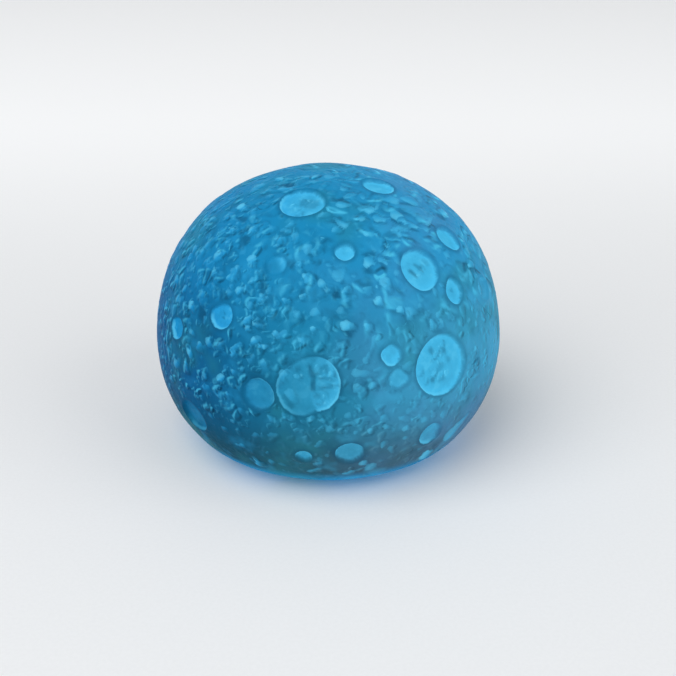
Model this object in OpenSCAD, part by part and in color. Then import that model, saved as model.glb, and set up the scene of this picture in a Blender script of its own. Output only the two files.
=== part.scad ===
// Battery moon lamp: a soft hollow moon shade clipped round a screwed light module.
// +Z is up. The origin is on the floor, under the middle of the lamp.

/* [Shade outline] */
// Radius of the shade at its widest ring
shade_r = 63; // [60:0.5:72]
// Height of the crown above the widest ring
crown_h = 62.3; // [59:0.1:66]
// Depth of the flat base below the widest ring
base_drop = 35.7; // [33:0.1:39]
// Radius of the arc just above the widest ring
side_r = 76.3; // [72:0.1:84]
// Radius of the flatter arc over the crown
crown_r = 75; // [71:0.1:82]
// Radius of the shoulder arc between side and crown
shoulder_r = 53.5; // [46:0.1:58]
// Radius of the arc just below the widest ring
lower_r = 47.7; // [45:0.1:56]
// Radius of the heel that turns into the flat base
heel_r = 15.8; // [12:0.1:18]
// Wall of the soft shade
shade_wall = 2.2; // [1.8:0.1:3]
// Thickness of the lip round the mouth
lip_t = 2; // [1.6:0.1:3]

/* [Craters] */
// Depth of the large and middle craters
crater_deep = 1.2; // [0.6:0.1:1.4]
// Depth of the shallow craters
crater_shallow = 0.6; // [0.3:0.1:1]
// Slope of a crater's wall, in degrees from upright
crater_slope = 24; // [5:1:40]

/* [Cells] */
// Diameter of a cell
cell_d = 10.5; // [10:0.1:11]
// Length of a cell with its nub
cell_l = 44.5; // [42:0.1:45]
// Diameter of the nub
nub_d = 3.8; // [3:0.1:4.5]
// Height of the nub
nub_h = 0.8; // [0.5:0.1:1.2]
// Rounding of a cell's edges
cell_edge = 0.5; // [0.3:0.1:0.8]
// Rounding of the nub's edge
nub_edge = 0.2; // [0.1:0.1:0.3]
// Free space between two neighbouring cells
cell_space = 0.7; // [0.4:0.1:1.2]
// Room round a cell in its cradle
cell_clear = 0.3; // [0.2:0.05:0.5]

/* [Contacts] */
// Thickness of the contact plates
plate_t = 0.4; // [0.3:0.05:0.6]
// Width and height of a contact plate
plate_w = 8.6; // [7:0.1:9.5]
// Height of the pip that meets a nub
pip_h = 0.6; // [0.4:0.1:1]
// How much wider the pip's foot is than the nub, and its face narrower
pip_flare = 0.4; // [0.2:0.1:0.6]
// Working length of a coil spring
spring_l = 3.8; // [3.2:0.1:4.5]
// Wire of a coil spring
spring_wire = 0.5; // [0.4:0.05:0.6]
// Radius of a spring's widest curl, at mid wire
spring_wide_r = 3.6; // [3:0.1:3.8]
// Radius of a spring's tip curl, at mid wire
spring_tip_r = 1.7; // [1.2:0.1:2]
// Number of curls of a coil spring
spring_curls = 3; // [2:1:3]
// Width of a solder tail
tail_w = 3; // [2:0.1:4]
// Height of a solder tail above the bay
tail_h = 2; // [1:0.1:2.4]
// Clearance round a solder tail in its slot
tail_clear = 0.2; // [0.1:0.05:0.3]

/* [Base cover] */
// How far the foot pads stand out below the cover
foot_proud = 0.6; // [0.4:0.1:1]
// Thickness of the rim under the shade's lip
rim_t = 1.2; // [1:0.1:1.6]
// Width of the rim outside the mouth
rim_w = 2.6; // [2:0.1:3.4]
// Thickness of the cover plate
cover_t = 3; // [2.8:0.1:3.6]
// Wall of the battery bay
bay_wall = 1.5; // [1.2:0.1:1.6]
// Width of the ledge behind the battery door
ledge_w = 1.8; // [1.2:0.1:2]
// Wall of the boss that takes the door screw
door_boss_wall = 1.2; // [1:0.1:1.5]
// Closed end of that boss
door_boss_cap = 0.8; // [0.6:0.1:1.2]
// How far the heads of the cover screws sit below the cover's face
head_sink = 0.4; // [0.3:0.1:0.6]

/* [Battery door] */
// Thickness of the door
door_t = 1.6; // [1.4:0.1:1.8]
// Gap round the door
door_gap = 0.3; // [0.25:0.05:0.4]
// Corner radius of the door
door_corner = 4; // [3:0.1:6]
// Radius of the lug that takes the door screw
lug_r = 3.2; // [2.8:0.1:3.4]
// Thickness of the lug under the screw's head
lug_seat_t = 0.6; // [0.5:0.1:0.8]
// Width of each finger grip groove
grip_w = 1; // [0.6:0.1:1.4]
// Number of finger grip grooves
grip_count = 5; // [3:1:7]
// Length of each groove
grip_l = 15; // [10:1:20]
// Depth of each groove
grip_depth = 0.5; // [0.3:0.1:0.7]

/* [Housing] */
// Outer radius of the housing's tub
tub_r = 33; // [32.8:0.1:34]
// Wall of the tub
tub_wall = 1.6; // [1.2:0.1:1.8]
// Gap between the tub and the shade's mouth
mouth_gap = 0.3; // [0.2:0.05:0.5]
// Width of the flange that holds the lip from inside
flange_w = 3.2; // [2.6:0.1:3.6]
// Thickness of that flange
flange_t = 1.6; // [1.2:0.1:2.2]
// Free height over the bay for the leads
lead_room = 3.2; // [3:0.1:5]
// Thickness of the deck under the board
deck_t = 2; // [1.6:0.1:2.6]
// Diameter of the screw bosses
boss_d = 5.5; // [5:0.1:5.8]
// Distance of the cover screws from the lamp's middle plane, across
cover_screw_x = 11.5; // [11.2:0.1:12.5]
// Distance of the cover screws from the lamp's middle plane, in depth
cover_screw_y = 26.6; // [26.3:0.1:27]

/* [Foot pads] */
// Diameter of a foot pad
foot_d = 5.6; // [5:0.1:6]
// Thickness of a foot pad
foot_t = 1.6; // [1.4:0.1:1.7]
// Sideways place of a foot pad
foot_x = 19.6; // [19:0.1:20.5]
// Place of a foot pad in depth
foot_y = 22.6; // [22.3:0.1:23]
// Bevel of a foot pad's lower edge
foot_edge = 0.3; // [0.2:0.1:0.5]
// Clearance of a foot pad in its seat, on radius
foot_clear = 0.05; // [0.03:0.01:0.1]

/* [Screws] */
// Thread diameter of every screw
screw_d = 2; // [1.8:0.1:2.2]
// Head diameter of every screw
head_d = 3.8; // [3.4:0.1:4]
// Head height of every screw
head_h = 1; // [0.8:0.1:1.1]
// Clearance round a screw's head, on radius
head_clear = 0.3; // [0.2:0.05:0.4]
// Length of the cover screws under the head
cover_screw_l = 8; // [6:0.5:10]
// Length of the door screw under the head
door_screw_l = 5; // [4:0.5:6]
// Length of the board screws under the head
board_screw_l = 4; // [3.5:0.1:4.4]
// Running clearance round a screw's thread, on radius
screw_clear = 0.05; // [0.03:0.01:0.1]
// Clearance of the plain holes that a screw passes through, on radius
shank_clear = 0.15; // [0.1:0.05:0.25]

/* [Slide switch] */
// Length of the switch can
can_l = 12.6; // [12:0.1:13]
// Width of the switch can
can_w = 6.6; // [6:0.1:7]
// Height of the switch can
can_h = 4.6; // [4.4:0.1:5.4]
// Sheet of the switch can
can_t = 0.4; // [0.3:0.05:0.5]
// Distance of the switch from the lamp's middle plane
switch_y = 24.5; // [24.3:0.1:25]
// Travel of the knob from on to off
knob_travel = 3; // [2:0.1:3.2]
// Length of the knob's stem along its travel
stem_l = 3.6; // [3:0.1:4]
// Width of the knob's stem
stem_w = 3; // [2.4:0.1:3.4]
// Height of the knob's tip above the floor
knob_lift = 1; // [0.8:0.1:1.4]
// Clearance round the knob
knob_clear = 0.35; // [0.3:0.05:0.5]
// Free space above and below the knob's slider
slider_gap = 0.3; // [0.3:0.05:0.5]
// Thickness of the plug that closes the can
plug_h = 1; // [0.8:0.1:1.2]
// Gap round that plug
plug_gap = 0.05; // [0.03:0.01:0.1]
// Wall of the fence round the switch
fence_t = 1; // [0.8:0.1:1.2]
// Gap between fence and can
fence_gap = 0.2; // [0.15:0.05:0.3]
// Height of the fence
fence_h = 3; // [2:0.1:3.6]
// Thickness left under the finger dish
dish_floor_t = 1.4; // [1.2:0.1:1.8]
// Reach of the finger dish past the knob's slot, along the travel
dish_end = 2.5; // [2:0.1:3]
// Reach of the finger dish past the knob's slot, across the travel
dish_side = 1.7; // [1.2:0.1:2]
// Diameter of a terminal pin
pin_d = 0.9; // [0.7:0.1:1.1]
// Height of a terminal pin
pin_h = 3; // [2:0.1:3.4]
// Spacing of the terminal pins
pin_pitch = 3; // [2.5:0.1:3.4]

/* [Light board] */
// Radius of the board
board_r = 21; // [20:0.1:22.5]
// Thickness of the board
board_t = 1.6; // [1:0.1:1.8]
// Height of the posts under the board
post_h = 3; // [2.6:0.1:5]
// Diameter of the posts under the board
post_d = 5; // [4.4:0.1:6]
// Radius of the circle of posts
post_ring_r = 17.4; // [17:0.1:18]
// Side of a light package
led_w = 5; // [4.6:0.1:5.4]
// Height of a light package
led_h = 1.6; // [1.2:0.1:2]
// Diameter of the round window of a light package
led_window_d = 3.8; // [3.2:0.1:4.2]
// Depth of that window
led_window_depth = 0.3; // [0.2:0.1:0.6]
// Radius of the circle of lights
led_ring_r = 10.5; // [9.8:0.1:11.5]
// Length of the controller chip's body
chip_l = 4.9; // [4.4:0.1:5.4]
// Width of the controller chip's body
chip_w = 3.9; // [3.4:0.1:4.2]
// Height of the controller chip's body
chip_h = 1.5; // [1.2:0.1:1.8]
// Gap between the chip's body and the board
chip_stand = 0.1; // [0.05:0.05:0.2]
// Width of a leg of the chip
leg_w = 0.4; // [0.3:0.05:0.5]
// Reach of a leg of the chip
leg_reach = 1.1; // [0.8:0.1:1.3]
// Length of a resistor
resistor_l = 3.2; // [2.8:0.1:3.4]
// Width of a resistor
resistor_w = 1.6; // [1.2:0.1:1.8]
// Height of a resistor
resistor_h = 0.6; // [0.4:0.1:0.8]
// Diameter of the capacitor's can
capacitor_d = 5; // [4:0.1:5.4]
// Height of the capacitor
capacitor_h = 5.6; // [5:0.1:6.2]
// Height of the capacitor's square foot
capacitor_foot_h = 0.6; // [0.4:0.1:1]
// How far the capacitor's can stands inside its foot
capacitor_inset = 0.1; // [0.05:0.05:0.2]
// Diameter of the insulation of a lead
lead_d = 1.2; // [1:0.1:1.4]
// Free space between a lead's cut end and what it is soldered to
lead_gap = 0.15; // [0.1:0.05:0.2]
// Radius of the hole in the deck that the leads pass through
lead_hole_r = 3.6; // [3.2:0.1:3.8]

/* [Diffuser dome] */
// Radius of the dome's skirt, outside
dome_r = 27.6; // [26.4:0.1:29]
// Wall of the dome
dome_wall = 1.4; // [1:0.1:1.8]
// Height of the straight skirt
skirt_h = 8; // [7:0.1:10]
// Height of the dome above its skirt
dome_h = 17; // [12:0.1:22]
// Height of the collar that holds the skirt
collar_h = 3.5; // [2.5:0.1:5]
// Wall of that collar
collar_wall = 1.2; // [1:0.1:1.6]
// Gap between collar and skirt
collar_gap = 0.15; // [0.1:0.05:0.25]

/* [Hidden] */
$fn = 96;

// Smallest overlap that makes two cuts meet
eps = 0.02;
// How far a cut reaches past the face it opens
past = 1;
// Turn of the shade's outline from one point to the next, in degrees
outline_step = 5;

// Heights, from the floor up
cover_z = foot_proud;
door_top = cover_z + door_t;
shade_z = cover_z + rim_t;
lip_top = shade_z + lip_t;
cover_top = cover_z + cover_t;
cell_z = door_top + cell_clear + cell_d / 2;
cradle_r = cell_d / 2 + cell_clear;
bay_ceiling = cell_z + cradle_r;
bay_top = bay_ceiling + bay_wall;
deck_z = bay_top + lead_room;
deck_top = deck_z + deck_t;
board_z = deck_top + post_h;
board_top = board_z + board_t;
widest_z = shade_z + base_drop;

// Radii of what passes through the mouth
mouth_r = tub_r + mouth_gap;
rim_r = mouth_r + rim_w;
flange_r = tub_r + flange_w;
tub_inner_r = tub_r - tub_wall;
collar_r = dome_r - dome_wall - collar_gap;
thread_hole_r = screw_d / 2 + screw_clear;
shank_hole_r = screw_d / 2 + shank_clear;
head_hole_r = head_d / 2 + head_clear;

// Battery bay
cell_pitch = cell_d + cell_space;
cell_rows = [-1, 0, 1];
bay_l = plate_t + pip_h + cell_l + spring_l + plate_t;
bay_w = 3 * cell_pitch;
door_l = bay_l + 2 * ledge_w;
door_w = bay_w + 2 * ledge_w;
lug_x = door_l / 2 + lug_r / 2;
plate_h = bay_ceiling - door_top - 2 * cell_clear;
bay_straight_h = cell_z + 0.2 * cell_d;
door_boss_h = door_screw_l;

// Switch
can_z = cover_top;
can_floor = can_z + can_t;
slider_z = can_floor + slider_gap;
slider_h = can_h - can_t - plug_h - 2 * slider_gap;
slider_l = can_l - 2 * can_t - knob_travel - 2 * knob_clear;
knob_on_x = knob_travel / 2;
knob_slot_l = stem_l + knob_travel + 2 * knob_clear;
knob_slot_w = stem_w + 2 * knob_clear;
dish_depth = cover_t - dish_floor_t;

// Centres of the arcs of the shade's outline, as [radius, height above the widest ring]
side_c = [shade_r - side_r, 0];
crown_c = [0, crown_h - crown_r];
lower_c = [shade_r - lower_r, 0];
heel_dz = heel_r - base_drop;
heel_c = [lower_c[0] + sqrt(pow(lower_r - heel_r, 2) - heel_dz * heel_dz), heel_dz];
shoulder_c = meeting_point(side_c, side_r - shoulder_r, crown_c, crown_r - shoulder_r);

// Directions in which one arc passes into the next
side_end = direction(side_c, shoulder_c);
crown_start = direction(crown_c, shoulder_c);
lower_end = direction(lower_c, heel_c);

// Each crater as [azimuth, upward lean of the surface there, radius]
deep_craters = [
    [-110, 71.3, 7.6], [-27.6, 75, 5.6], [-27.4, 45.6, 4.8], [-52.4, 39.7, 6.9],
    [-40.9, 28.2, 4], [-82.3, 50.4, 3.3], [-70.1, 14.3, 3.5], [-52.5, 8.6, 10.3],
    [-94.3, 8.2, 9.4], [-97.4, 6.4, 8.6], [-110.6, 4.1, 5.2], [-126.2, 22.8, 4.3],
    [-146.4, 13.4, 3.9], [-138.4, -14.7, 6], [-97.4, -21.2, 2.8], [-82.9, -19.4, 4.8],
    [-55.4, -16.9, 4.5],
    [4, 2, 6.6], [20, 37, 5.6], [20, -14, 4.4], [35, 12, 9.4], [47, 52, 6.4],
    [56, -17, 5.2], [64, 27, 4.2], [77, 8, 5.6], [86, 45, 7.6], [103, -14, 5.8],
    [110, 20, 9.9], [122, 58, 5], [130, -10, 3.8], [138, 35, 5.3], [151, 9, 7.2],
    [160, -17, 4.6], [158, 44, 5], [168, 26, 3.6], [2, -16, 3.2], [172, -8, 3.4]
];
shallow_craters = [
    [-110.4, 44.1, 3.7], [-68.3, 8.1, 3.6], [-22.6, 22.3, 4.3],
    [8, 20, 2.6], [30, 27, 3.3], [50, 32, 3.6], [60, 3, 2.4], [92, 24, 2.6],
    [126, 8, 3.1], [126, 44, 2.6], [150, 26, 2.6], [166, 8, 3.1], [84, -16, 2.6],
    [72, 38, 2.3], [104, 38, 2.3], [40, -8, 2.3]
];

// Cover screws, foot pads and posts, as [x, y]
cover_screw_at = [for (i = [-1, 1], j = [-1, 1]) [i * cover_screw_x, j * cover_screw_y]];
foot_at = [for (i = [-1, 1], j = [-1, 1]) [i * foot_x, j * foot_y]];
post_at = [for (a = [90, 210, 330]) post_ring_r * [cos(a), sin(a)]];
led_at = [for (a = [30, 150, 270]) led_ring_r * [cos(a), sin(a)]];
resistor_at = [[-8, -3.4], [8, -3.4], [0, -5.8]];
capacitor_at = [0, 8.6];
lead_hole_at = [0, -18.6];

// Leads inside the module: routes of hand-chosen points
lead_z = bay_top + lead_room / 2;
pin_top = can_z + can_h + pin_h;
lead_start = pin_top + lead_gap;
lead_end = board_z - lead_gap;
tail_x = bay_l / 2 - plate_t - lead_d / 2;
lead_positive_route = [
    [tail_x, -cell_pitch, bay_top + tail_h / 2], [18, -14, lead_z], [10, -18, lead_z],
    [pin_pitch + 1, -22, lead_z - 0.4], [pin_pitch, -switch_y, lead_start + 2],
    [pin_pitch, -switch_y, lead_start]
];
lead_switched_route = [
    [0, -switch_y, lead_start], [0, -switch_y, lead_start + 1.4], [0.6, -22, lead_z - 0.2],
    [1.6, -19, deck_z], [2, -18.6, deck_top], [2, -18.6, lead_end]
];
lead_negative_route = [
    [-tail_x, cell_pitch, bay_top + tail_h / 2], [-17, 4, lead_z], [-10, -8, lead_z],
    [-4, -16, lead_z], [-2, -18.6, deck_z + 0.6], [-2, -18.6, lead_end]
];

// Functions ---------------------------------------------------------------

// Angle of the line from one centre to another
function direction(from, to) = atan2(to[1] - from[1], to[0] - from[0]);

// Outer crossing point of two circles
function meeting_point(c1, r1, c2, r2) =
    let (
        gap = c2 - c1,
        d = norm(gap),
        along = (r1 * r1 - r2 * r2 + d * d) / (2 * d),
        across = sqrt(r1 * r1 - along * along),
        u = gap / d
    )
    c1 + along * u + across * [-u[1], u[0]] * (u[1] < 0 ? 1 : -1);

// Point of the outline where the surface leans up by an angle, as [radius, height]
function outline_point(lean) =
    let (
        arc = lean > crown_start ? [crown_c, crown_r]
            : lean > side_end ? [shoulder_c, shoulder_r]
            : lean > 0 ? [side_c, side_r]
            : lean > lower_end ? [lower_c, lower_r]
            : [heel_c, heel_r]
    )
    arc[0] + arc[1] * [cos(lean), sin(lean)];

function unit(v) = v / norm(v);

// One point of a smooth curve through four neighbours
function smooth_point(a, b, c, d, t) =
    0.5 * (2 * b + (c - a) * t + (2 * a - 5 * b + 4 * c - d) * t * t + (3 * b - a - 3 * c + d) * t * t * t);

// A route of points, filled in with a smooth curve
function smooth_route(p, steps) =
    let (last = len(p) - 1)
    concat(
        [
            for (i = [0 : last - 1], s = [0 : steps - 1])
            smooth_point(p[max(i - 1, 0)], p[i], p[i + 1], p[min(i + 2, last)], s / steps)
        ],
        [p[last]]
    );

// Direction of a route at one of its points
function heading(p, i) = unit(p[min(i + 1, len(p) - 1)] - p[max(i - 1, 0)]);

// Sideways directions along a route, each turned as little as it can be
function carry(side, dir) = unit(side - (side * dir) * dir);
function sides(p, i, side) =
    i == len(p) ? [] : let (now = carry(side, heading(p, i))) concat([now], sides(p, i + 1, now));

// Conical spring along +X, from its plate to its tip
spring_steps = 8;
function spring_point(s) =
    let (
        turn = s * spring_curls * 360,
        r = spring_wide_r + (spring_tip_r - spring_wide_r) * s,
        x = spring_wire + (spring_l - 2 * spring_wire) * s
    )
    [x, r * cos(turn), r * sin(turn)];
spring_route = concat(
    [[0, spring_wide_r, 0]],
    [for (i = [0 : spring_curls * spring_steps]) spring_point(i / (spring_curls * spring_steps))],
    [[spring_l, spring_tip_r, 0]]
);
spring_gap = min([
    for (i = [1 : len(spring_route) - 2], j = [i + spring_steps - 2 : 1 : len(spring_route) - 2])
    norm(spring_route[i] - spring_route[j])
]) - spring_wire;
echo(spring_gap = spring_gap);

// Shapes shared by several pieces ----------------------------------------

// A round tube swept along a route, closed at both ends
module tube(p, r, n, side) {
    m = len(p);
    across = sides(p, 0, side);
    points = [
        for (i = [0 : m - 1], k = [0 : n - 1])
        let (u = across[i], v = cross(heading(p, i), u), a = 360 * k / n)
        p[i] + r * (cos(a) * u + sin(a) * v)
    ];
    walls = [
        for (i = [0 : m - 2], k = [0 : n - 1])
        let (a = i * n + k, b = i * n + (k + 1) % n)
        each [[a, a + n, b], [b, a + n, b + n]]
    ];
    ends = [
        for (k = [1 : n - 2])
        each [[0, k, k + 1], [(m - 1) * n, (m - 1) * n + k + 1, (m - 1) * n + k]]
    ];
    polyhedron(points, concat(walls, ends), convexity = 6);
}

// Half outline of the shade, drawn in by an inset, with a flat floor at a given height
module outline(inset, floor_h) {
    floor_z = floor_h - base_drop;
    polygon(concat(
        [[0, floor_z], [heel_c[0], floor_z]],
        [
            for (lean = [-90 : outline_step : 90])
            let (p = outline_point(lean) - inset * [cos(lean), sin(lean)])
            if (p[1] > floor_z + eps) p
        ]
    ));
}

module moon_solid(inset, floor_h) {
    translate([0, 0, widest_z]) rotate_extrude() outline(inset, floor_h);
}

// Carries a shape from the origin to a place on the shade, with +Z pointing outwards
module on_shade(azimuth, lean) {
    at = outline_point(lean);
    rotate([0, 0, azimuth]) translate([at[0], 0, widest_z + at[1]]) rotate([0, 90 - lean, 0]) children();
}

// Cone that opens outwards and has the crater's radius where it meets the surface
module crater_cone(r) {
    reach = 3;
    flare = tan(crater_slope);
    rim_drop = r * r / shoulder_r / 2;
    translate([0, 0, -rim_drop - reach])
        cylinder(h = rim_drop + 2 * reach, r1 = r - reach * flare, r2 = r + (reach + rim_drop) * flare);
}

module rounded_plate(l, w, h, corner) {
    linear_extrude(h) {
        square([l - 2 * corner, w], center = true);
        square([l, w - 2 * corner], center = true);
        for (i = [-1, 1], j = [-1, 1])
            translate([i * (l / 2 - corner), j * (w / 2 - corner)]) circle(corner);
    }
}

// Pan head screw along +Z, with its head's top at the origin and its tip above
module screw(length) {
    cross_w = screw_d * 0.3;
    cross_l = head_d * 0.6;
    edge = head_h / 3;
    tip_h = screw_d / 2;
    difference() {
        union() {
            rotate_extrude() polygon([
                [0, 0], [head_d / 2 - edge, 0], [head_d / 2, edge], [head_d / 2, head_h], [0, head_h]
            ]);
            cylinder(h = head_h + length - tip_h, d = screw_d);
            translate([0, 0, head_h + length - tip_h])
                cylinder(h = tip_h, d1 = screw_d, d2 = screw_d / 3);
        }
        for (a = [0, 90])
            rotate([0, 0, a]) cube([cross_l, cross_w, head_h], center = true);
    }
}

// Pieces --------------------------------------------------------------------

module moon_shade() {
    color("skyblue") difference() {
        moon_solid(0, 0);
        moon_solid(shade_wall, lip_t);
        translate([0, 0, shade_z - past]) cylinder(h = lip_t + 2 * past, r = mouth_r);
        for (c = deep_craters)
            difference() {
                on_shade(c[0], c[1]) crater_cone(c[2]);
                moon_solid(crater_deep, crater_deep);
            }
        for (c = shallow_craters)
            difference() {
                on_shade(c[0], c[1]) crater_cone(c[2]);
                moon_solid(crater_shallow, crater_shallow);
            }
    }
}

module base_housing() {
    color("white") difference() {
        union() {
            difference() {
                translate([0, 0, cover_top]) cylinder(h = deck_top - cover_top, r = tub_r);
                translate([0, 0, cover_top - past])
                    cylinder(h = deck_z - cover_top + past, r = tub_inner_r);
            }
            difference() {
                translate([0, 0, lip_top]) cylinder(h = flange_t, r = flange_r);
                translate([0, 0, lip_top - past])
                    cylinder(h = flange_t + 2 * past, r = tub_r - tub_wall / 2);
            }
            for (p = cover_screw_at)
                translate([p[0], p[1], cover_top]) cylinder(h = deck_z - cover_top + eps, d = boss_d);
            for (p = post_at)
                translate([p[0], p[1], deck_top - eps]) cylinder(h = post_h + eps, d = post_d);
            difference() {
                translate([0, 0, deck_top - eps]) cylinder(h = collar_h, r = collar_r);
                translate([0, 0, deck_top - past])
                    cylinder(h = collar_h + 2 * past, r = collar_r - collar_wall);
            }
        }
        for (p = cover_screw_at)
            translate([p[0], p[1], cover_top - past])
                cylinder(h = cover_screw_l + past, r = thread_hole_r);
        for (p = post_at)
            translate([p[0], p[1], board_z - board_screw_l])
                cylinder(h = board_screw_l + past, r = thread_hole_r);
        translate([lead_hole_at[0], lead_hole_at[1], deck_z - past])
            cylinder(h = deck_t + 2 * past, r = lead_hole_r);
    }
}

// Outline of the dome: a straight skirt under a cap, drawn in by an inset
module dome_outline(inset) {
    cap_r = (dome_r * dome_r + dome_h * dome_h) / (2 * dome_h);
    intersection() {
        translate([0, skirt_h + dome_h - cap_r]) circle(cap_r - inset);
        square([dome_r - inset, skirt_h + dome_h]);
    }
}

module diffuser_dome() {
    color("ivory") translate([0, 0, deck_top]) difference() {
        rotate_extrude() dome_outline(0);
        translate([0, 0, -eps]) rotate_extrude() dome_outline(dome_wall);
    }
}

// Outline that the door and its opening share, grown by a gap
module door_shape(grow, h) {
    rounded_plate(door_l + 2 * grow, door_w + 2 * grow, h, door_corner + grow);
    translate([lug_x, 0, 0]) cylinder(h = h, r = lug_r + grow);
    translate([door_l / 2, -lug_r - grow, 0]) cube([lug_x - door_l / 2, 2 * (lug_r + grow), h]);
}

module base_cover() {
    fence_l = can_l + 2 * (fence_gap + fence_t);
    fence_w = can_w + 2 * (fence_gap + fence_t);
    dish_l = knob_slot_l + 2 * dish_end;
    dish_w = knob_slot_w + 2 * dish_side;
    color("gainsboro") difference() {
        union() {
            translate([0, 0, cover_z]) cylinder(h = rim_t, r = rim_r);
            translate([0, 0, cover_z]) cylinder(h = cover_t, r = tub_r);
            intersection() {
                translate([-bay_l / 2 - bay_wall, -bay_w / 2 - bay_wall, cover_top - eps])
                    cube([bay_l + 2 * bay_wall, bay_w + 2 * bay_wall, bay_top - cover_top + eps]);
                translate([0, 0, cover_z]) cylinder(h = bay_top, r = tub_inner_r - mouth_gap);
            }
            translate([lug_x, 0, cover_top - eps])
                cylinder(h = door_boss_h, r = screw_d / 2 + door_boss_wall);
            translate([-fence_l / 2, -switch_y - fence_w / 2, cover_top - eps])
                cube([fence_l, fence_w, fence_h + eps]);
        }
        // Bay: three round cradles over one open box
        for (i = cell_rows)
            translate([0, i * cell_pitch, cell_z]) rotate([0, 90, 0])
                cylinder(h = bay_l, r = cradle_r, center = true);
        translate([-bay_l / 2, -bay_w / 2, 0]) cube([bay_l, bay_w, bay_straight_h]);
        // Slots of the contact plates, across all cradles
        for (end = [-1, 1])
            translate([end * (bay_l / 2 - plate_t) - plate_t, -bay_w / 2, 0])
                cube([2 * plate_t, bay_w, bay_ceiling]);
        for (end = [[1, -1], [-1, 1]])
            translate([end[0] * (bay_l / 2 - plate_t / 2), end[1] * cell_pitch, bay_top])
                cube([plate_t + 2 * tail_clear, tail_w + 2 * tail_clear, 4 * bay_wall], center = true);
        translate([0, 0, cover_z - past]) door_shape(door_gap, door_t + past);
        // Door screw
        translate([lug_x, 0, 0]) cylinder(h = cover_top + door_boss_h - door_boss_cap, r = thread_hole_r);
        // Cover screws
        for (p = cover_screw_at) {
            translate([p[0], p[1], 0]) cylinder(h = cover_top + past, r = shank_hole_r);
            translate([p[0], p[1], 0]) cylinder(h = cover_z + head_sink + head_h, r = head_hole_r);
        }
        // Foot pads
        for (p = foot_at)
            translate([p[0], p[1], 0]) cylinder(h = foot_t, r = foot_d / 2 + foot_clear);
        // Switch: finger dish below, slot, and the seat inside its fence
        translate([0, -switch_y, 0]) {
            translate([0, 0, cover_z - past])
                rounded_plate(dish_l, dish_w, dish_depth + past, knob_slot_w / 2);
            translate([-knob_slot_l / 2, -knob_slot_w / 2, 0])
                cube([knob_slot_l, knob_slot_w, cover_top + past]);
            translate([-can_l / 2 - fence_gap, -can_w / 2 - fence_gap, cover_top])
                cube([can_l + 2 * fence_gap, can_w + 2 * fence_gap, fence_h + past]);
        }
    }
}

module battery_door() {
    color("whitesmoke") difference() {
        translate([0, 0, cover_z]) door_shape(0, door_t);
        translate([lug_x, 0, 0]) cylinder(h = door_top + past, r = shank_hole_r);
        translate([lug_x, 0, 0]) cylinder(h = door_top - lug_seat_t, r = head_hole_r);
        for (i = [0 : grip_count - 1])
            translate([-door_l / 4 - 2 * grip_w * i, 0, cover_z])
                cube([grip_w, grip_l, 2 * grip_depth], center = true);
    }
}

module door_screw() {
    color("silver") translate([lug_x, 0, door_top - lug_seat_t - head_h]) screw(door_screw_l);
}

module cover_screws() {
    color("silver") for (p = cover_screw_at)
        translate([p[0], p[1], cover_z + head_sink]) screw(cover_screw_l);
}

module board_screws() {
    color("silver") for (p = post_at)
        translate([p[0], p[1], board_top + head_h]) rotate([180, 0, 0]) screw(board_screw_l);
}

module foot_pads() {
    color("dimgray") for (p = foot_at)
        translate([p[0], p[1], 0]) rotate_extrude() polygon([
            [0, 0], [foot_d / 2 - foot_edge, 0], [foot_d / 2, foot_edge], [foot_d / 2, foot_t], [0, foot_t]
        ]);
}

// A cell with its nub towards +X or -X, depending on the way it faces
module cell(row, way) {
    nub_tip = bay_l / 2 - plate_t - pip_h;
    translate([way * nub_tip, row * cell_pitch, cell_z]) rotate([0, -90 * way, 0])
        rotate_extrude() polygon([
            [0, 0], [nub_d / 2 - nub_edge, 0], [nub_d / 2, nub_edge], [nub_d / 2, nub_h],
            [cell_d / 2 - cell_edge, nub_h], [cell_d / 2, nub_h + cell_edge],
            [cell_d / 2, cell_l - cell_edge], [cell_d / 2 - cell_edge, cell_l], [0, cell_l]
        ]);
}

module battery_1() {
    color("goldenrod") cell(-1, 1);
}

module battery_2() {
    color("goldenrod") cell(0, -1);
}

module battery_3() {
    color("goldenrod") cell(1, 1);
}

// Contact plate against an end wall of the bay: way is the side, rows are the cells it serves
module contact_plate(way, rows, pip_row, tail) {
    mid = (rows[0] + rows[len(rows) - 1]) / 2 * cell_pitch;
    wide = (len(rows) - 1) * cell_pitch + plate_w;
    low = door_top + cell_clear;
    translate([way * bay_l / 2, 0, 0]) mirror([way > 0 ? 1 : 0, 0, 0]) {
        translate([0, mid - wide / 2, low]) cube([plate_t, wide, plate_h]);
        if (len(pip_row) > 0)
            translate([plate_t - eps, pip_row[0] * cell_pitch, cell_z]) rotate([0, 90, 0])
                cylinder(h = pip_h + eps, r1 = nub_d / 2 + pip_flare, r2 = nub_d / 2 - pip_flare);
        if (tail)
            translate([0, mid - tail_w / 2, low]) cube([plate_t, tail_w, bay_top + tail_h - low]);
    }
}

module contact_positive() {
    color("gold") contact_plate(1, [-1], [-1], true);
}

module contact_negative() {
    color("gold") contact_plate(-1, [1], [], true);
}

module contact_link_left() {
    color("gold") contact_plate(-1, [-1, 0], [0], false);
}

module contact_link_right() {
    color("gold") contact_plate(1, [0, 1], [1], false);
}

module cell_springs() {
    color("silver") for (s = [[-1, -1], [0, 1], [1, -1]])
        translate([s[1] * (bay_l / 2 - plate_t), s[0] * cell_pitch, cell_z])
            rotate([0, 0, s[1] > 0 ? 180 : 0])
                tube(spring_route, spring_wire / 2, 6, [0, 1, 0]);
}

module led_board() {
    color("forestgreen") difference() {
        translate([0, 0, board_z]) cylinder(h = board_t, r = board_r);
        for (p = post_at)
            translate([p[0], p[1], board_z - past]) cylinder(h = board_t + 2 * past, r = shank_hole_r);
    }
}

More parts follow.
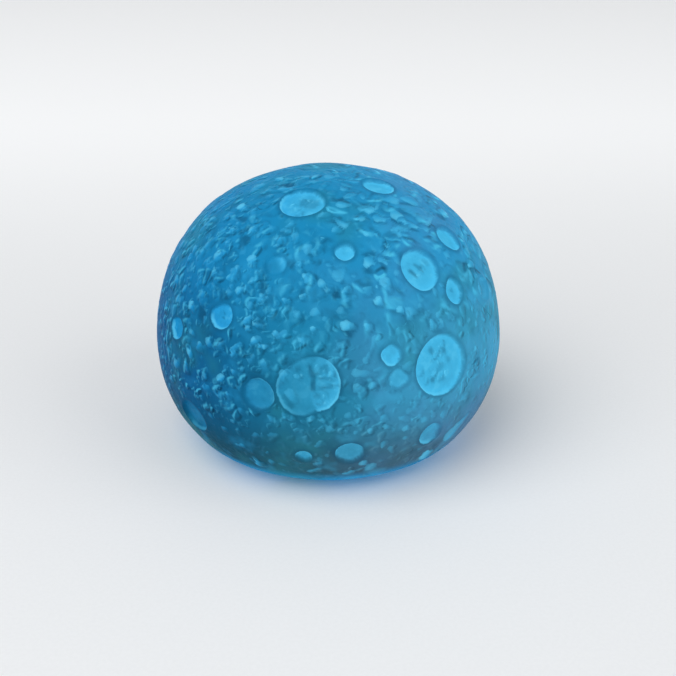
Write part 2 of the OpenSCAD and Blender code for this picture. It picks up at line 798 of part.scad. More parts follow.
module rgb_leds() {
    color("white") for (p = led_at)
        translate([p[0], p[1], board_top]) difference() {
            translate([-led_w / 2, -led_w / 2, 0]) cube([led_w, led_w, led_h]);
            translate([0, 0, led_h - led_window_depth]) cylinder(h = past, d = led_window_d);
        }
}

module control_chip() {
    color("darkslategray") translate([0, 0, board_top]) {
        translate([-chip_l / 2, -chip_w / 2, chip_stand]) cube([chip_l, chip_w, chip_h - chip_stand]);
        for (i = [-1.5 : 1 : 1.5], side = [0, 1])
            mirror([0, side, 0]) translate([i * chip_l / 4 - leg_w / 2, chip_w / 2 - eps, 0])
                cube([leg_w, leg_reach, chip_h / 2]);
    }
}

module resistors() {
    color("black") for (p = resistor_at)
        translate([p[0] - resistor_l / 2, p[1] - resistor_w / 2, board_top])
            cube([resistor_l, resistor_w, resistor_h]);
}

module capacitor() {
    color("silver") translate([capacitor_at[0], capacitor_at[1], board_top]) {
        translate([-capacitor_d / 2, -capacitor_d / 2, 0])
            cube([capacitor_d, capacitor_d, capacitor_foot_h]);
        translate([0, 0, capacitor_foot_h - eps])
            cylinder(h = capacitor_h - capacitor_foot_h, r = capacitor_d / 2 - capacitor_inset);
    }
}

module switch_can() {
    color("silver") translate([0, -switch_y, can_z]) difference() {
        translate([-can_l / 2, -can_w / 2, 0]) cube([can_l, can_w, can_h]);
        translate([can_t - can_l / 2, can_t - can_w / 2, can_t])
            cube([can_l - 2 * can_t, can_w - 2 * can_t, can_h]);
        translate([-knob_slot_l / 2, -knob_slot_w / 2, -past])
            cube([knob_slot_l, knob_slot_w, can_t + 2 * past]);
    }
}

module switch_base() {
    inset = can_t + plug_gap;
    color("saddlebrown") translate([0, -switch_y, can_z + can_h - plug_h]) {
        translate([inset - can_l / 2, inset - can_w / 2, 0])
            cube([can_l - 2 * inset, can_w - 2 * inset, plug_h]);
        for (i = [-1, 0, 1])
            translate([i * pin_pitch, 0, plug_h - eps]) cylinder(h = pin_h + eps, d = pin_d);
    }
}

module switch_knob() {
    color("dimgray") translate([knob_on_x, -switch_y, 0]) difference() {
        union() {
            translate([-slider_l / 2, knob_clear + can_t - can_w / 2, slider_z])
                cube([slider_l, can_w - 2 * (can_t + knob_clear), slider_h]);
            translate([-stem_l / 2, -stem_w / 2, knob_lift])
                cube([stem_l, stem_w, slider_z + slider_h / 2 - knob_lift]);
        }
        for (i = [-1, 0, 1])
            translate([i * stem_l / 4, 0, knob_lift]) rotate([90, 0, 0])
                cylinder(h = stem_w + past, d = stem_l / 8, center = true, $fn = 24);
    }
}

module lead(route) {
    path = smooth_route(route, 4);
    tube(path, lead_d / 2, 8, [1, 0.3, 0.2]);
}

module lead_positive() {
    color("firebrick") lead(lead_positive_route);
}

module lead_switched() {
    color("firebrick") lead(lead_switched_route);
}

module lead_negative() {
    color("black") lead(lead_negative_route);
}

moon_shade();
base_housing();
diffuser_dome();
base_cover();
battery_door();
door_screw();
cover_screws();
board_screws();
foot_pads();
battery_1();
battery_2();
battery_3();
contact_positive();
contact_negative();
contact_link_left();
contact_link_right();
cell_springs();
led_board();
rgb_leds();
control_chip();
resistors();
capacitor();
switch_can();
switch_base();
switch_knob();
lead_positive();
lead_switched();
lead_negative();
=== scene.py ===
import math
from functools import partial

import bmesh
import bpy
import numpy as np
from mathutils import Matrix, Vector


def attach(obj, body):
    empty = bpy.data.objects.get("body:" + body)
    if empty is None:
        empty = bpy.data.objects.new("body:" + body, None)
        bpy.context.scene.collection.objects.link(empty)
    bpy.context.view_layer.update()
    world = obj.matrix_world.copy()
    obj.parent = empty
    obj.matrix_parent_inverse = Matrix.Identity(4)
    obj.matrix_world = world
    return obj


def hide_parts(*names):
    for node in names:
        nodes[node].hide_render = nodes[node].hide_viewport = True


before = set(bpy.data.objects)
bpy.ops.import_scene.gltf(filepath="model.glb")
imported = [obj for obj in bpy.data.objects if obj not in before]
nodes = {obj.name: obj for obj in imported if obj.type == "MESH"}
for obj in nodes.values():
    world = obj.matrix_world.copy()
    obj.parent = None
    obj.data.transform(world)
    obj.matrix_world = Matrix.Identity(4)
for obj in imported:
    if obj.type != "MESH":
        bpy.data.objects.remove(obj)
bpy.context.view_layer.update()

mm = 0.001
print("frame loaded:", len(nodes), "nodes")


# colour and node helpers


def tone(red, green, blue):
    return tuple(round(((c / 255 + 0.055) / 1.055) ** 2.4, 5) for c in (red, green, blue)) + (1.0,)


def fill(node, values):
    # links what is a socket and sets any other value
    for key, value in values.items():
        if isinstance(value, bpy.types.NodeSocket):
            node.id_data.links.new(value, node.inputs[key])
        else:
            node.inputs[key].default_value = value
    return node


def addNode(tree, kind, inputs=None, **settings):
    node = tree.nodes.new(kind)
    for key, value in settings.items():
        setattr(node, key, value)
    return fill(node, inputs or {})


def newMaterial(name):
    material = bpy.data.materials.new(name)
    material.use_nodes = True
    tree = material.node_tree
    tree.nodes.clear()
    shader = addNode(tree, "ShaderNodeBsdfPrincipled")
    addNode(tree, "ShaderNodeOutputMaterial", {"Surface": shader.outputs["BSDF"]})
    return material, tree, shader


def calc(operation, tree, *values, clamp=False):
    inputs = dict(enumerate(values))
    return addNode(tree, "ShaderNodeMath", inputs, operation=operation, use_clamp=clamp).outputs[0]


times, plus, minus = partial(calc, "MULTIPLY"), partial(calc, "ADD"), partial(calc, "SUBTRACT")
most, least, absolute = partial(calc, "MAXIMUM"), partial(calc, "MINIMUM"), partial(calc, "ABSOLUTE")


def mapped(tree, value, low, high, toLow=0.0, toHigh=1.0, smooth=True):
    inputs = {"Value": value, "From Min": low, "From Max": high, "To Min": toLow, "To Max": toHigh}
    kind = "SMOOTHSTEP" if smooth else "LINEAR"
    return addNode(tree, "ShaderNodeMapRange", inputs, interpolation_type=kind).outputs["Result"]


def mixed(tree, amount, first, second, blend="MIX"):
    # a colour is a socket, four linear numbers, or three sRGB numbers up to 255
    first, second = (tone(*c) if isinstance(c, tuple) and len(c) == 3 else c for c in (first, second))
    inputs = {0: amount, 6: first, 7: second}
    return addNode(tree, "ShaderNodeMix", inputs, data_type="RGBA", blend_type=blend).outputs[2]


def washed(tree, base, colour, value, low, high, share=None):
    # lays a colour over another one while a value goes from low to high
    amount = mapped(tree, value, low, high)
    return mixed(tree, amount if share is None else times(tree, amount, share), base, colour)


def vector(tree, operation, *values):
    inputs = dict(enumerate(values))
    return addNode(tree, "ShaderNodeVectorMath", inputs, operation=operation).outputs["Vector"]


def scaled(tree, value, amount):
    inputs = {0: value, "Scale": amount}
    return addNode(tree, "ShaderNodeVectorMath", inputs, operation="SCALE").outputs["Vector"]


def noiseIn(tree, place, scale, detail=2.0, roughness=0.55, distortion=0.0):
    inputs = {"Vector": place, "Scale": scale, "Detail": detail, "Roughness": roughness, "Distortion": distortion}
    return addNode(tree, "ShaderNodeTexNoise", inputs).outputs["Fac"]


def stretched(tree, place, scale, turn=0.0):
    inputs = {"Vector": place, "Rotation": (0.0, 0.0, turn), "Scale": scale}
    return addNode(tree, "ShaderNodeMapping", inputs).outputs[0]


def bumped(tree, height, strength, distance):
    inputs = {"Height": height, "Strength": strength, "Distance": distance}
    return addNode(tree, "ShaderNodeBump", inputs).outputs["Normal"]


def objectPlace(tree):
    place = addNode(tree, "ShaderNodeTexCoord").outputs["Object"]
    return place, addNode(tree, "ShaderNodeSeparateXYZ", {0: place}).outputs


def reachFrom(tree, axes, at=(0.0, 0.0), across="XY"):
    # how far a point is from an upright line, or from one along another axis
    a, b = (minus(tree, axes[axis], centre) for axis, centre in zip(across, at))
    return calc("SQRT", tree, plus(tree, times(tree, a, a), times(tree, b, b)))


def around(turn, reach):
    return reach * math.cos(math.radians(turn)), reach * math.sin(math.radians(turn))


# effects that several materials share


def newGroup(name, inputs, outputs):
    # an input without a start value is a vector
    tree = bpy.data.node_groups.new(name, "ShaderNodeTree")
    for label, start in inputs.items():
        kind = "NodeSocketVector" if start is None else "NodeSocketFloat"
        socket = tree.interface.new_socket(label, in_out="INPUT", socket_type=kind)
        if start is not None:
            socket.default_value = start
    for label in outputs:
        tree.interface.new_socket(label, in_out="OUTPUT", socket_type="NodeSocketFloat")
    return tree, addNode(tree, "NodeGroupInput").outputs, addNode(tree, "NodeGroupOutput")


def useGroup(tree, group, **values):
    return addNode(tree, "ShaderNodeGroup", values, node_tree=group).outputs


def buildMouldGrain():
    # fine sparked tool texture, broad sink marks and a slow change of tone
    tree, given, made = newGroup("mouldGrain", {"Vector": None, "Scale": 3000.0}, ("Height", "Tone"))
    fine = noiseIn(tree, given["Vector"], given["Scale"], 3.0)
    broad = noiseIn(tree, given["Vector"], 45.0)
    level = plus(tree, times(tree, fine, 0.35), times(tree, broad, 0.65))
    fill(made, {"Height": plus(tree, times(tree, fine, 0.6), times(tree, broad, 0.5)),
                "Tone": mapped(tree, level, 0.35, 0.65)})
    return tree


def buildScuffs():
    # short scratches in two directions, and dust that settles in specks
    tree, given, made = newGroup("scuffs", {"Vector": None, "Amount": 0.5}, ("Scratches", "Dust"))
    lines = []
    for turn, stretch in ((0.5, (1.0, 14.0, 4.0)), (2.1, (1.0, 18.0, 4.0))):
        place = stretched(tree, given["Vector"], stretch, turn)
        lines.append(mapped(tree, noiseIn(tree, place, 130.0, 2.0, 0.6), 0.66, 0.72))
    patch = mapped(tree, noiseIn(tree, given["Vector"], 60.0), 0.5, 0.62)
    specks = mapped(tree, noiseIn(tree, given["Vector"], 1400.0), 0.66, 0.74)
    for label, marks in (("Scratches", most(tree, *lines)), ("Dust", specks)):
        fill(made, {label: times(tree, times(tree, marks, patch), given["Amount"], clamp=True)})
    return tree


def buildBrushing():
    # rolling lines along one direction, and dull patches of tarnish
    tree, given, made = newGroup("brushing", {"Vector": None, "Stretch": None}, ("Height", "Tarnish"))
    place = stretched(tree, given["Vector"], given["Stretch"])
    dull = noiseIn(tree, given["Vector"], 240.0, 4.0, 0.6, 0.6)
    fill(made, {"Height": noiseIn(tree, place, 500.0, 3.0, 0.6), "Tarnish": mapped(tree, dull, 0.5, 0.72)})
    return tree


def buildChips():
    # raised chips of uneven outline, some of them left out
    inputs = {"Vector": None, "Scale": 300.0, "Cover": 0.6}
    tree, given, made = newGroup("moonChips", inputs, ["Height"])
    bend = addNode(tree, "ShaderNodeTexNoise", {
        "Vector": given["Vector"], "Detail": 1.5, "Scale": times(tree, given["Scale"], 0.9)})
    push = vector(tree, "SUBTRACT", bend.outputs["Color"], (0.5, 0.5, 0.5))
    push = scaled(tree, push, calc("DIVIDE", tree, 1.5, given["Scale"]))
    place = vector(tree, "ADD", given["Vector"], push)
    cells = addNode(tree, "ShaderNodeTexVoronoi", {"Vector": place, "Scale": given["Scale"]}).outputs
    chance = addNode(tree, "ShaderNodeSeparateColor", {0: cells["Color"]}).outputs
    reach = mapped(tree, chance["Green"], 0.0, 1.0, 0.34, 0.62, smooth=False)
    form = mapped(tree, cells["Distance"], reach, times(tree, reach, 0.35))
    here = calc("LESS_THAN", tree, chance["Red"], given["Cover"])
    high = mapped(tree, chance["Blue"], 0.0, 1.0, 0.45, 1.0, smooth=False)
    fill(made, {"Height": times(tree, form, times(tree, here, high))})
    return tree


mouldGrain, scuffs, brushing, moonChips = buildMouldGrain(), buildScuffs(), buildBrushing(), buildChips()
print("shared effects: built")


# the moon shade: lengths in millimetres until the mesh is written

moonSettings = {
    # half width, heights over and under the widest place, and the radii of the outline's five arcs
    "radius": 63.0, "crownHeight": 62.3, "baseDrop": 35.7,
    "sideArc": 76.3, "crownArc": 75.0, "shoulderArc": 53.5, "lowerArc": 47.7, "heelArc": 15.8,
    "wall": 2.2, "lip": 2.0, "mouth": 33.3, "bottom": 1.8,
    # steps round the axis, gaps between the rings outside and inside, and the lean where the cap starts
    "steps": 480, "ringGap": 0.72, "innerGap": 9.0, "capLean": 45.0,
    # craters: depths, lean of their walls, and how far points are drawn to their rims
    "deep": 1.2, "shallow": 0.6, "craterSlope": 24.0, "rimPull": 1.7,
    # the ground lies under the outline, so that marks, rims and a slow swell can stand on it
    "groundDrop": 0.3, "floorDrop": 0.1, "floorRelief": 0.07, "rimRise": 0.3, "rimFade": 1.3, "swell": 0.14,
    "markRise": 0.22, "markDip": 0.18, "deepest": 1.6, "flatBelow": (-86, -66),
    # marks that are scattered over the sides which the front marks don't reach
    "scattered": 2600, "seed": 11, "viewFrom": (0.0, -0.906, 0.423), "cell": 4.0,
}
# azimuth, upward lean of the surface, radius
deepCraters = [
    (-110, 71.3, 7.6), (-27.6, 75, 5.6), (-27.4, 45.6, 4.8), (-52.4, 39.7, 6.9),
    (-40.9, 28.2, 4), (-82.3, 50.4, 3.3), (-70.1, 14.3, 3.5), (-52.5, 8.6, 10.3),
    (-94.3, 8.2, 9.4), (-97.4, 6.4, 8.6), (-110.6, 4.1, 5.2), (-126.2, 22.8, 4.3),
    (-146.4, 13.4, 3.9), (-138.4, -14.7, 6), (-97.4, -21.2, 2.8), (-82.9, -19.4, 4.8),
    (-55.4, -16.9, 4.5),
    (4, 2, 6.6), (20, 37, 5.6), (20, -14, 4.4), (35, 12, 9.4), (47, 52, 6.4),
    (56, -17, 5.2), (64, 27, 4.2), (77, 8, 5.6), (86, 45, 7.6), (103, -14, 5.8),
    (110, 20, 9.9), (122, 58, 5), (130, -10, 3.8), (138, 35, 5.3), (151, 9, 7.2),
    (160, -17, 4.6), (158, 44, 5), (168, 26, 3.6), (2, -16, 3.2), (172, -8, 3.4),
]
shallowCraters = [
    (-110.4, 44.1, 3.7), (-68.3, 8.1, 3.6), (-22.6, 22.3, 4.3),
    (8, 20, 2.6), (30, 27, 3.3), (50, 32, 3.6), (60, 3, 2.4), (92, 24, 2.6),
    (126, 8, 3.1), (126, 44, 2.6), (150, 26, 2.6), (166, 8, 3.1), (84, -16, 2.6),
    (72, 38, 2.3), (104, 38, 2.3), (40, -8, 2.3),
]
# painted glow of a crater's floor, its kind, and the side of the painted highlight on its lip, in degrees
craterFloorsAndLitLips = {
    0: (0.95, "hammered", 225), 1: (1.0, "plain", 250), 2: (1.0, "plain", 225), 3: (1.0, "hammered", 225),
    4: (1.0, "pitted", 200), 5: (0.98, "plain", 270), 6: (1.0, "plain", 225), 7: (1.0, "hammered", 215),
    8: (0.32, "rayed", -15), 9: (0.3, "plain", 190), 10: (0.36, "plain", 45), 11: (0.9, "pitted", 250),
    12: (0.72, "plain", 225), 13: (0.2, "plain", 300), 14: (0.6, "plain", 90), 15: (0.5, "plain", 110),
    16: (0.5, "plain", 225), 37: (0.8, "crescent", 45), 38: (0.5, "soft", 190), 39: (0.14, "soft", 170),
}
floorKinds = ("plain", "hammered", "rayed", "pitted")
# a crater's outline against the circle in the list: its size, and how far two, three and four lobes leave it
craterGrowth = {3: 1.05, 4: 1.08, 2: 1.03, 7: 1.03, 8: 0.985, 9: 0.99, 10: 1.07, 11: 1.03, 13: 1.04, 15: 1.03}
craterWaves = {
    2: (0.05, 0.02, 0.0), 4: (0.05, 0.02, 0.03), 6: (0.0, 0.0, 0.05), 8: (0.02, 0.03, 0.01), 13: (0.04, 0.02, 0.0),
    38: (0.03, 0.05, 0.06),
}
usualGrowth, usualWaves = 1.01, (0.02, 0.012, 0.008)
# fields of the outer skin that the material reads, with their value on the rest of the mesh
# the crater fields carry the floors' painted glow and the side of their painted lip highlights, and the mark fields
# the outlines and the painted light and shade of small forms
fieldRests = {
    "craterRim": -5, "craterSide": 0, "craterGlow": 0, "craterFloor": 0,
    "markEdge": -3, "markLight": 0, "markLitSide": 0, "markShade": 0,
}
# small forms seen on the front: azimuth, lean, half length, half width, turn, and light (or shade, below nought)
frontMarks = [
    (-169, 76.2, 0.1, 1.49, 112, 0.7), (-165.9, 69.8, 2.1, 1.45, 125, 0.5), (-141.8, 71.1, 0.6, 1.05, 78, 0.4),
    (-140.1, 74.9, 1.7, 1.5, 14, 0.75), (-146.6, 76.9, 1.5, 1.13, 33, -0.9), (-148.3, 62.6, 2.3, 1.11, -1, 0.85),
    (-139.3, 52.9, 0.8, 1.22, 38, 0.7), (-140.3, 55.5, 1.4, 0.5, -48, 0.5), (-142.7, 58.2, 1.8, 0.81, 9, -0.7),
    (-134, 54.9, 1.4, 0.65, 66, -0.8), (-129.4, 54.4, 0.8, 1.17, 83, 0.85), (-129.7, 49.5, 1.2, 1.31, 96, -0.8),
    (-112.9, 53.8, 1, 1.15, -16, 0.75), (-112.9, 51.2, 0.8, 0.57, 9, 0.6), (-119.9, 58.2, 1.1, 0.98, -40, 0.45),
    (-111.3, 60.3, 0.9, 0.67, 42, 0.65), (-110.8, 58.3, 0.6, 0.67, -38, 0.8), (-111.2, 56.4, 1.1, 0.71, -23, -0.5),
    (-92.4, 55.6, 0.2, 0.54, -38, 1), (-96.8, 50.8, 1.1, 1.2, -31, 0.5), (-105, 54.7, 1.7, 0.8, -69, 0.4),
    (-120.5, 43.9, 1.1, 1.14, -40, 0.75), (-100.6, 45.1, 0.3, 0.72, -49, 0.8), (-103.9, 44.3, 1, 0.79, -61, -0.45),
    (-97.6, 41, 1.1, 1.28, -40, 0.85), (-116.9, 37.8, 0.8, 0.9, 42, 0.5), (-84.7, 42.6, 1.2, 1.29, 42, 0.35),
    (-85.1, 39.4, 0.9, 0.33, -26, 0.6), (-127, 39.8, 0.6, 1.06, 76, 0.5), (-142.6, 83.2, 1.6, 1.07, 27, 0.45),
    (-107.5, 82, 1.4, 0.81, 23, 0.45), (-74.4, 85.3, 0.7, 1.39, -21, 0.4), (-36.4, 86.8, 3.1, 0.43, -146, 0.45),
    (-54.9, 81.8, 3.7, 0.63, -36, 0.6), (-70.3, 78.3, 0.4, 1.09, -68, 0.5), (-67.3, 74.9, 0.9, 0.89, 0, 0.5),
    (-75.6, 70.7, 1.3, 1.37, -20, 0.6), (-57.8, 72.9, 1.4, 0.76, -108, 0.55), (-64.8, 68.2, 1.3, 1.56, -15, 0.75),
    (-77.7, 73.4, 0.1, 0.73, -57, -0.7), (-83.2, 63.3, 2.4, 0.8, -52, 0.65), (-78.5, 61.8, 1, 0.54, 40, 0.6),
    (-84.4, 62.1, 2.5, 0.39, -52, -0.7), (-92.9, 66.7, 1.4, 0.84, 15, 0.5), (-85.9, 59.4, 1, 1.03, 11, 0.65),
    (-71, 64.5, 0.6, 0.96, -29, 0.6), (-71.7, 57.8, 1.1, 0.61, -54, 0.7), (-39.6, 69.3, 1.4, 1.61, -39, 0.5),
    (-25.7, 66.5, 1.7, 1.94, -37, 0.6), (-30.8, 65.1, 2.7, 0.6, -34, -0.6), (-4.7, 65.4, 0.1, 2.4, -111, 0.55),
    (-7.3, 58.9, 0.1, 1.82, -95, 0.5), (-11.5, 53.8, 0.6, 1.87, -63, 0.75), (-17.1, 53.8, 0.8, 1.12, -79, -0.6),
    (-45.7, 63.9, 1.8, 1.67, -102, 0.7), (-45.6, 59.1, 1.1, 1.34, -72, 0.9), (-42.4, 55.8, 1.4, 1.01, -41, 0.75),
    (-26.8, 55.4, 4.5, 0.69, -166, 0.6), (-33.3, 61.6, 3, 2.4, -50, 0.3), (-39.9, 62.1, 0.1, 1.51, -71, -0.6),
    (-49.3, 58.9, 1.8, 0.64, -71, -0.85), (-45, 54.9, 2.5, 0.49, -38, -0.7), (-52.5, 68.5, 2.5, 0.66, 43, 0.55),
    (-57.5, 62.3, 1.3, 1.24, -33, 0.7), (-59.1, 60.8, 1.9, 0.47, -28, -0.6), (-65.8, 56.1, 0.1, 0.61, -10, 0.9),
    (-52.1, 56.6, 2.8, 0.97, -1, 0.65), (-52.8, 54.6, 1, 0.51, 49, 0.5), (-58.5, 54.6, 1.8, 0.56, 1, -0.45),
    (-36.7, 52.3, 0.4, 1.57, -108, 0.7), (-62.6, 50.5, 0.7, 0.49, -75, 0.9), (-63.7, 50, 0.8, 0.39, -72, -0.7),
    (-71.8, 45.3, 0.4, 1.63, -36, 0.8), (-72.6, 48.7, 1.7, 0.54, -2, -0.6), (-74.4, 42.7, 1.2, 0.52, -19, -0.6),
    (-66.7, 45.2, 1.1, 0.75, -56, 0.7), (-67.8, 44.2, 1.2, 0.37, -54, -0.6), (-61, 44.9, 1.5, 0.93, -93, 0.4),
    (-67.9, 36.1, 1.7, 1.23, -69, 0.6), (-75.9, 35.9, 0.5, 1.17, -43, 0.55), (-71.5, 36.2, 0.1, 0.5, -26, 0.7),
    (-24.8, 32.8, 1.5, 1.02, -7, 0.9), (-29, 33.9, 1, 0.6, -129, -0.7), (-37.9, 44.1, 0.5, 1.09, -80, 0.4),
    (-35, 40.3, 0.1, 1.31, -59, 0.4), (-19.1, 38.3, 2.8, 1.11, -116, 0.55), (-24.7, 24.3, 1.2, 1.24, -117, 0.65),
    (-17.1, 23.5, 4.6, 0.51, -28, 0.4), (-46.5, 32, 0.7, 0.53, -25, 0.5), (-50.2, 29.9, 0.8, 0.64, -84, 0.5),
    (-97.7, 34.4, 0.8, 0.65, 49, 0.75), (-98.7, 35.7, 0.6, 0.49, 43, -0.5), (-91.3, 37.8, 1.1, 0.79, -57, 0.7),
    (-89.3, 36.4, 0.7, 0.48, 0, 0.6), (-83.4, 36, 0.8, 0.88, 10, 0.8), (-86.2, 34.4, 0.3, 0.96, -30, -1),
    (-82.5, 33.2, 1.9, 0.47, 21, 0.4), (-84.7, 29, 0.9, 0.79, -26, 0.4), (-83.7, 30.8, 1.2, 0.47, -3, -0.5),
    (-82.6, 23.7, 1.4, 1.25, -14, 0.8), (-84.2, 22.2, 1.7, 0.63, -39, -0.8), (-77.1, 23.4, 0.6, 0.95, -51, 0.85),
    (-93.8, 23.1, 0.4, 0.63, 23, 0.9), (-94.1, 21.1, 0.8, 0.31, -98, 0.35), (-97.4, 19.1, 1.2, 0.87, -10, 0.7),
    (-99, 27.3, 0.6, 0.94, -41, 0.4), (-93, 28.5, 0.9, 0.94, -11, 0.5), (-90.3, 25.9, 0.8, 0.47, -59, 0.4),
    (-104.9, 19.9, 1.1, 1.43, -3, 0.55), (-106, 20.9, 0.6, 0.47, 7, 0.85), (-115.8, 23.9, 1, 1.03, 57, 0.9),
    (-112.7, 22.6, 1.4, 0.64, -9, 0.85), (-115.4, 20.5, 0.5, 0.67, -24, 0.7), (-112.6, 24.4, 0.6, 0.67, -47, 0.5),
    (-113.2, 16.8, 0.9, 0.98, 50, 0.85), (-110.5, 16.3, 0.5, 0.74, -14, 0.95), (-108.7, 16.5, 0.8, 0.55, 25, 0.8),
    (-109.1, 11.8, 1.8, 1.05, -75, 0.5), (-113.8, 12.3, 1.1, 0.69, -17, 0.45), (-108.2, 26.2, 1.3, 0.47, 2, 0.5),
    (-104.2, 32.2, 1.1, 0.63, -22, 0.75), (-112.7, 30.8, 0.1, 1.5, 35, 0.55), (-115.7, 29.1, 0.5, 0.81, 20, 0.5),
    (-110.2, 34.4, 0.4, 0.79, -34, 0.4), (-110.4, 32.4, 0.1, 0.48, -9, 0.5), (-119.8, 33.9, 1.2, 1, 17, 0.7),
    (-112.8, 34.6, 1.1, 0.85, -70, -0.7), (-109.5, 31.1, 0.2, 1.29, -48, -0.5), (-113, 9.2, 1, 1.35, 3, -0.5),
    (-101.6, 12.9, 0.6, 1.33, -61, -0.4), (-100.1, 15.8, 1.4, 0.28, 2, 0.5), (-86.3, 17.8, 0.5, 0.94, -57, 0.35),
    (-75.8, 17.4, 2.1, 0.49, -108, 0.4), (-77.6, 14.6, 1.5, 0.58, -126, 0.45), (-78.4, 10.5, 3.4, 0.82, -10, 0.42),
    (-80.4, 7, 0.5, 1.17, -13, 0.5), (-76, 7.5, 0.6, 0.87, 18, 0.5), (-78.1, 7, 0.8, 0.8, -76, -0.6),
    (-82.2, 7.1, 0.5, 0.63, -80, -0.5), (-80.5, 2, 0.7, 0.48, -73, 0.5), (-103.6, 8.9, 2.2, 0.8, 75, 0.55),
    (-100.3, 4.2, 1.7, 1.1, -49, 0.4), (-101.8, 3.2, 2.3, 0.53, -55, -0.5), (-71.8, 30.9, 0.8, 1, -48, 0.85),
    (-73.3, 30.2, 0.8, 0.41, -75, -0.5), (-64.9, 26.7, 0.4, 1.02, -55, 0.75), (-60.7, 25.8, 1.1, 1.12, -16, 0.45),
    (-54.6, 20.4, 1.1, 0.96, -72, 0.8), (-55.9, 20.2, 1.4, 0.38, -77, -0.6), (-50.4, 23.1, 1.2, 0.66, 33, 0.6),
    (-50.5, 18.9, 1.1, 0.4, -71, 0.5), (-52.7, 17.6, 1.5, 0.65, -22, -0.5), (-31.7, 21, 1.1, 0.48, 20, 0.5),
    (-28.4, 14.1, 0.3, 0.6, -36, 0.7), (-33.6, 14.4, 0.1, 0.86, -46, 0.5), (-37.4, 16.4, 0.2, 0.72, -35, 0.4),
    (-44.8, 18.9, 0.1, 0.78, -51, 0.35), (-62.3, 16.8, 2.6, 0.69, -65, 0.45), (-62.3, 13.9, 0.8, 0.66, -5, 0.45),
    (-70.6, 6.7, 1.6, 0.5, -83, 0.6), (-65.7, 10.7, 0.6, 1.33, -5, 0.4), (-76.3, 6.9, 0.6, 0.88, 25, 0.5),
    (-74.7, 1.5, 0.8, 0.54, 67, 0.4), (-73.4, -2.5, 0.4, 1.13, -54, 0.45), (-64.6, 0.7, 0.7, 0.39, 79, 0.4),
    (-63.1, 0.9, 1.4, 0.42, -26, 0.4), (-63.1, -0.9, 0.1, 1.08, -14, 0.3), (-67, -4.5, 1.6, 0.88, -25, 0.38),
    (-37.2, 1, 2.1, 0.51, 4, 0.45), (-43.3, -5.1, 1.9, 0.93, 6, 0.45), (-54.1, -3.2, 0.9, 0.49, 76, 0.35),
    (-51.9, -8.3, 0.8, 1.14, -22, 0.5), (-56.3, -6.1, 1, 0.69, -60, 0.4), (-36.7, 4.4, 1.7, 0.45, 24, 0.65),
    (-30.6, 2.3, 1.2, 0.57, 22, 0.65), (-36.6, 5.4, 0.7, 0.64, 34, -0.6), (-35.8, 8.1, 1.5, 0.45, -53, 0.5),
    (-116.8, -1.9, 0.5, 0.88, -29, 0.5), (-107, -2.6, 0.9, 0.8, -44, 0.5), (-102.8, -0.7, 0.5, 0.96, -25, 0.5),
    (-100.6, -2.1, 0.7, 0.69, 33, 0.6), (-97.6, -2.2, 0.8, 0.55, -48, 0.45), (-94.1, -0.8, 1, 0.7, 32, 0.55),
    (-91.1, -2.4, 0.7, 0.53, -43, 0.4), (-100.6, -2.8, 2.7, 0.48, -9, -0.4), (-88.6, -6.4, 0.6, 0.97, -21, 0.4),
    (-83.6, -0.8, 0.6, 0.81, -63, 0.35), (-80.5, 1.5, 1.1, 0.48, -83, 0.45), (-79.1, -1.9, 1.4, 0.56, -6, 0.4),
    (-76.9, -8.8, 0.6, 0.65, -79, 0.5), (-81.3, -8.5, 0.1, 0.53, -42, 0.4), (-84.5, -7.7, 1.1, 0.66, -65, 0.3),
    (-113, -13.1, 0.9, 0.75, 31, 0.35), (-119.7, -21.5, 1.5, 0.73, 6, 0.5), (-119.7, -8.6, 0.7, 0.37, -19, 0.4),
    (-118.8, -12.2, 0.7, 0.36, -2, 0.35), (-114.9, -30.8, 1.1, 1.66, -65, 0.75),
    (-117.2, -32.6, 3.2, 0.69, -92, -0.5), (-109.9, -22.1, 0.1, 0.6, -7, 0.4), (-109.2, -29.3, 0.7, 0.88, -88, 0.3),
    (-92.8, -14.3, 1.3, 0.84, 30, 0.4), (-92.6, -25.9, 0.8, 1.01, 39, 0.3), (-77.4, -27.2, 0.5, 1.17, -41, 0.55),
    (-63.4, -6.6, 0.1, 0.5, -41, 0.5), (-58.4, -8.4, 1, 0.74, -24, 0.35), (-71.7, -7.4, 1, 0.57, -19, 0.5),
    (-64.8, -10.3, 1, 0.8, -18, 0.5), (-72.3, -16.8, 0.8, 0.92, 61, 0.4), (-64.6, -15.2, 0.9, 0.48, -7, 0.35),
    (-69, -20.9, 1.8, 0.66, -63, 0.3), (-40.3, -20.9, 4.3, 2.4, 38, 0.5), (-43.2, -26.2, 0.1, 2.4, 46, 0.6),
    (-50.6, -32.7, 0.8, 2.4, 25, 0.75), (-94.7, -31.8, 1.9, 1.03, 23, 0.4), (-83.1, -34.5, 1, 1.27, 3, 0.6),
    (-74, -31.7, 0.8, 1.66, -36, 0.4), (-155.1, 36.9, 0.8, 1.25, 139, 0.7), (-154.7, 40.4, 0.9, 1.05, 52, 0.6),
    (-148.2, 40.2, 1, 0.77, -20, 0.6), (-148, 44.5, 0.5, 1.26, 94, 0.55), (-147, 46.6, 0.7, 0.75, 41, 0.5),
    (-143.1, 37.6, 0.8, 0.78, 63, 0.45), (-140.6, 37.6, 0.7, 1.39, 14, 0.5), (-135.1, 35.7, 2.3, 0.99, -44, 0.75),
    (-139.6, 34.7, 1.1, 1.08, -20, -0.5), (-136.7, 43.1, 1.5, 1.45, 33, 0.75), (-127.1, 36.6, 1.5, 1.06, 23, 0.75),
    (-125.6, 39, 1.2, 0.75, -64, 0.65), (-120.7, 33.4, 1.6, 0.83, 16, 0.75), (-120.8, 33, 0.3, 0.92, -71, 0.6),
    (-137.1, 48.2, 0.1, 1.03, 75, 0.6), (-162.1, 46.6, 0.1, 2.4, 65, 0.55), (-160.1, 52.1, 2, 0.88, 8, 0.6),
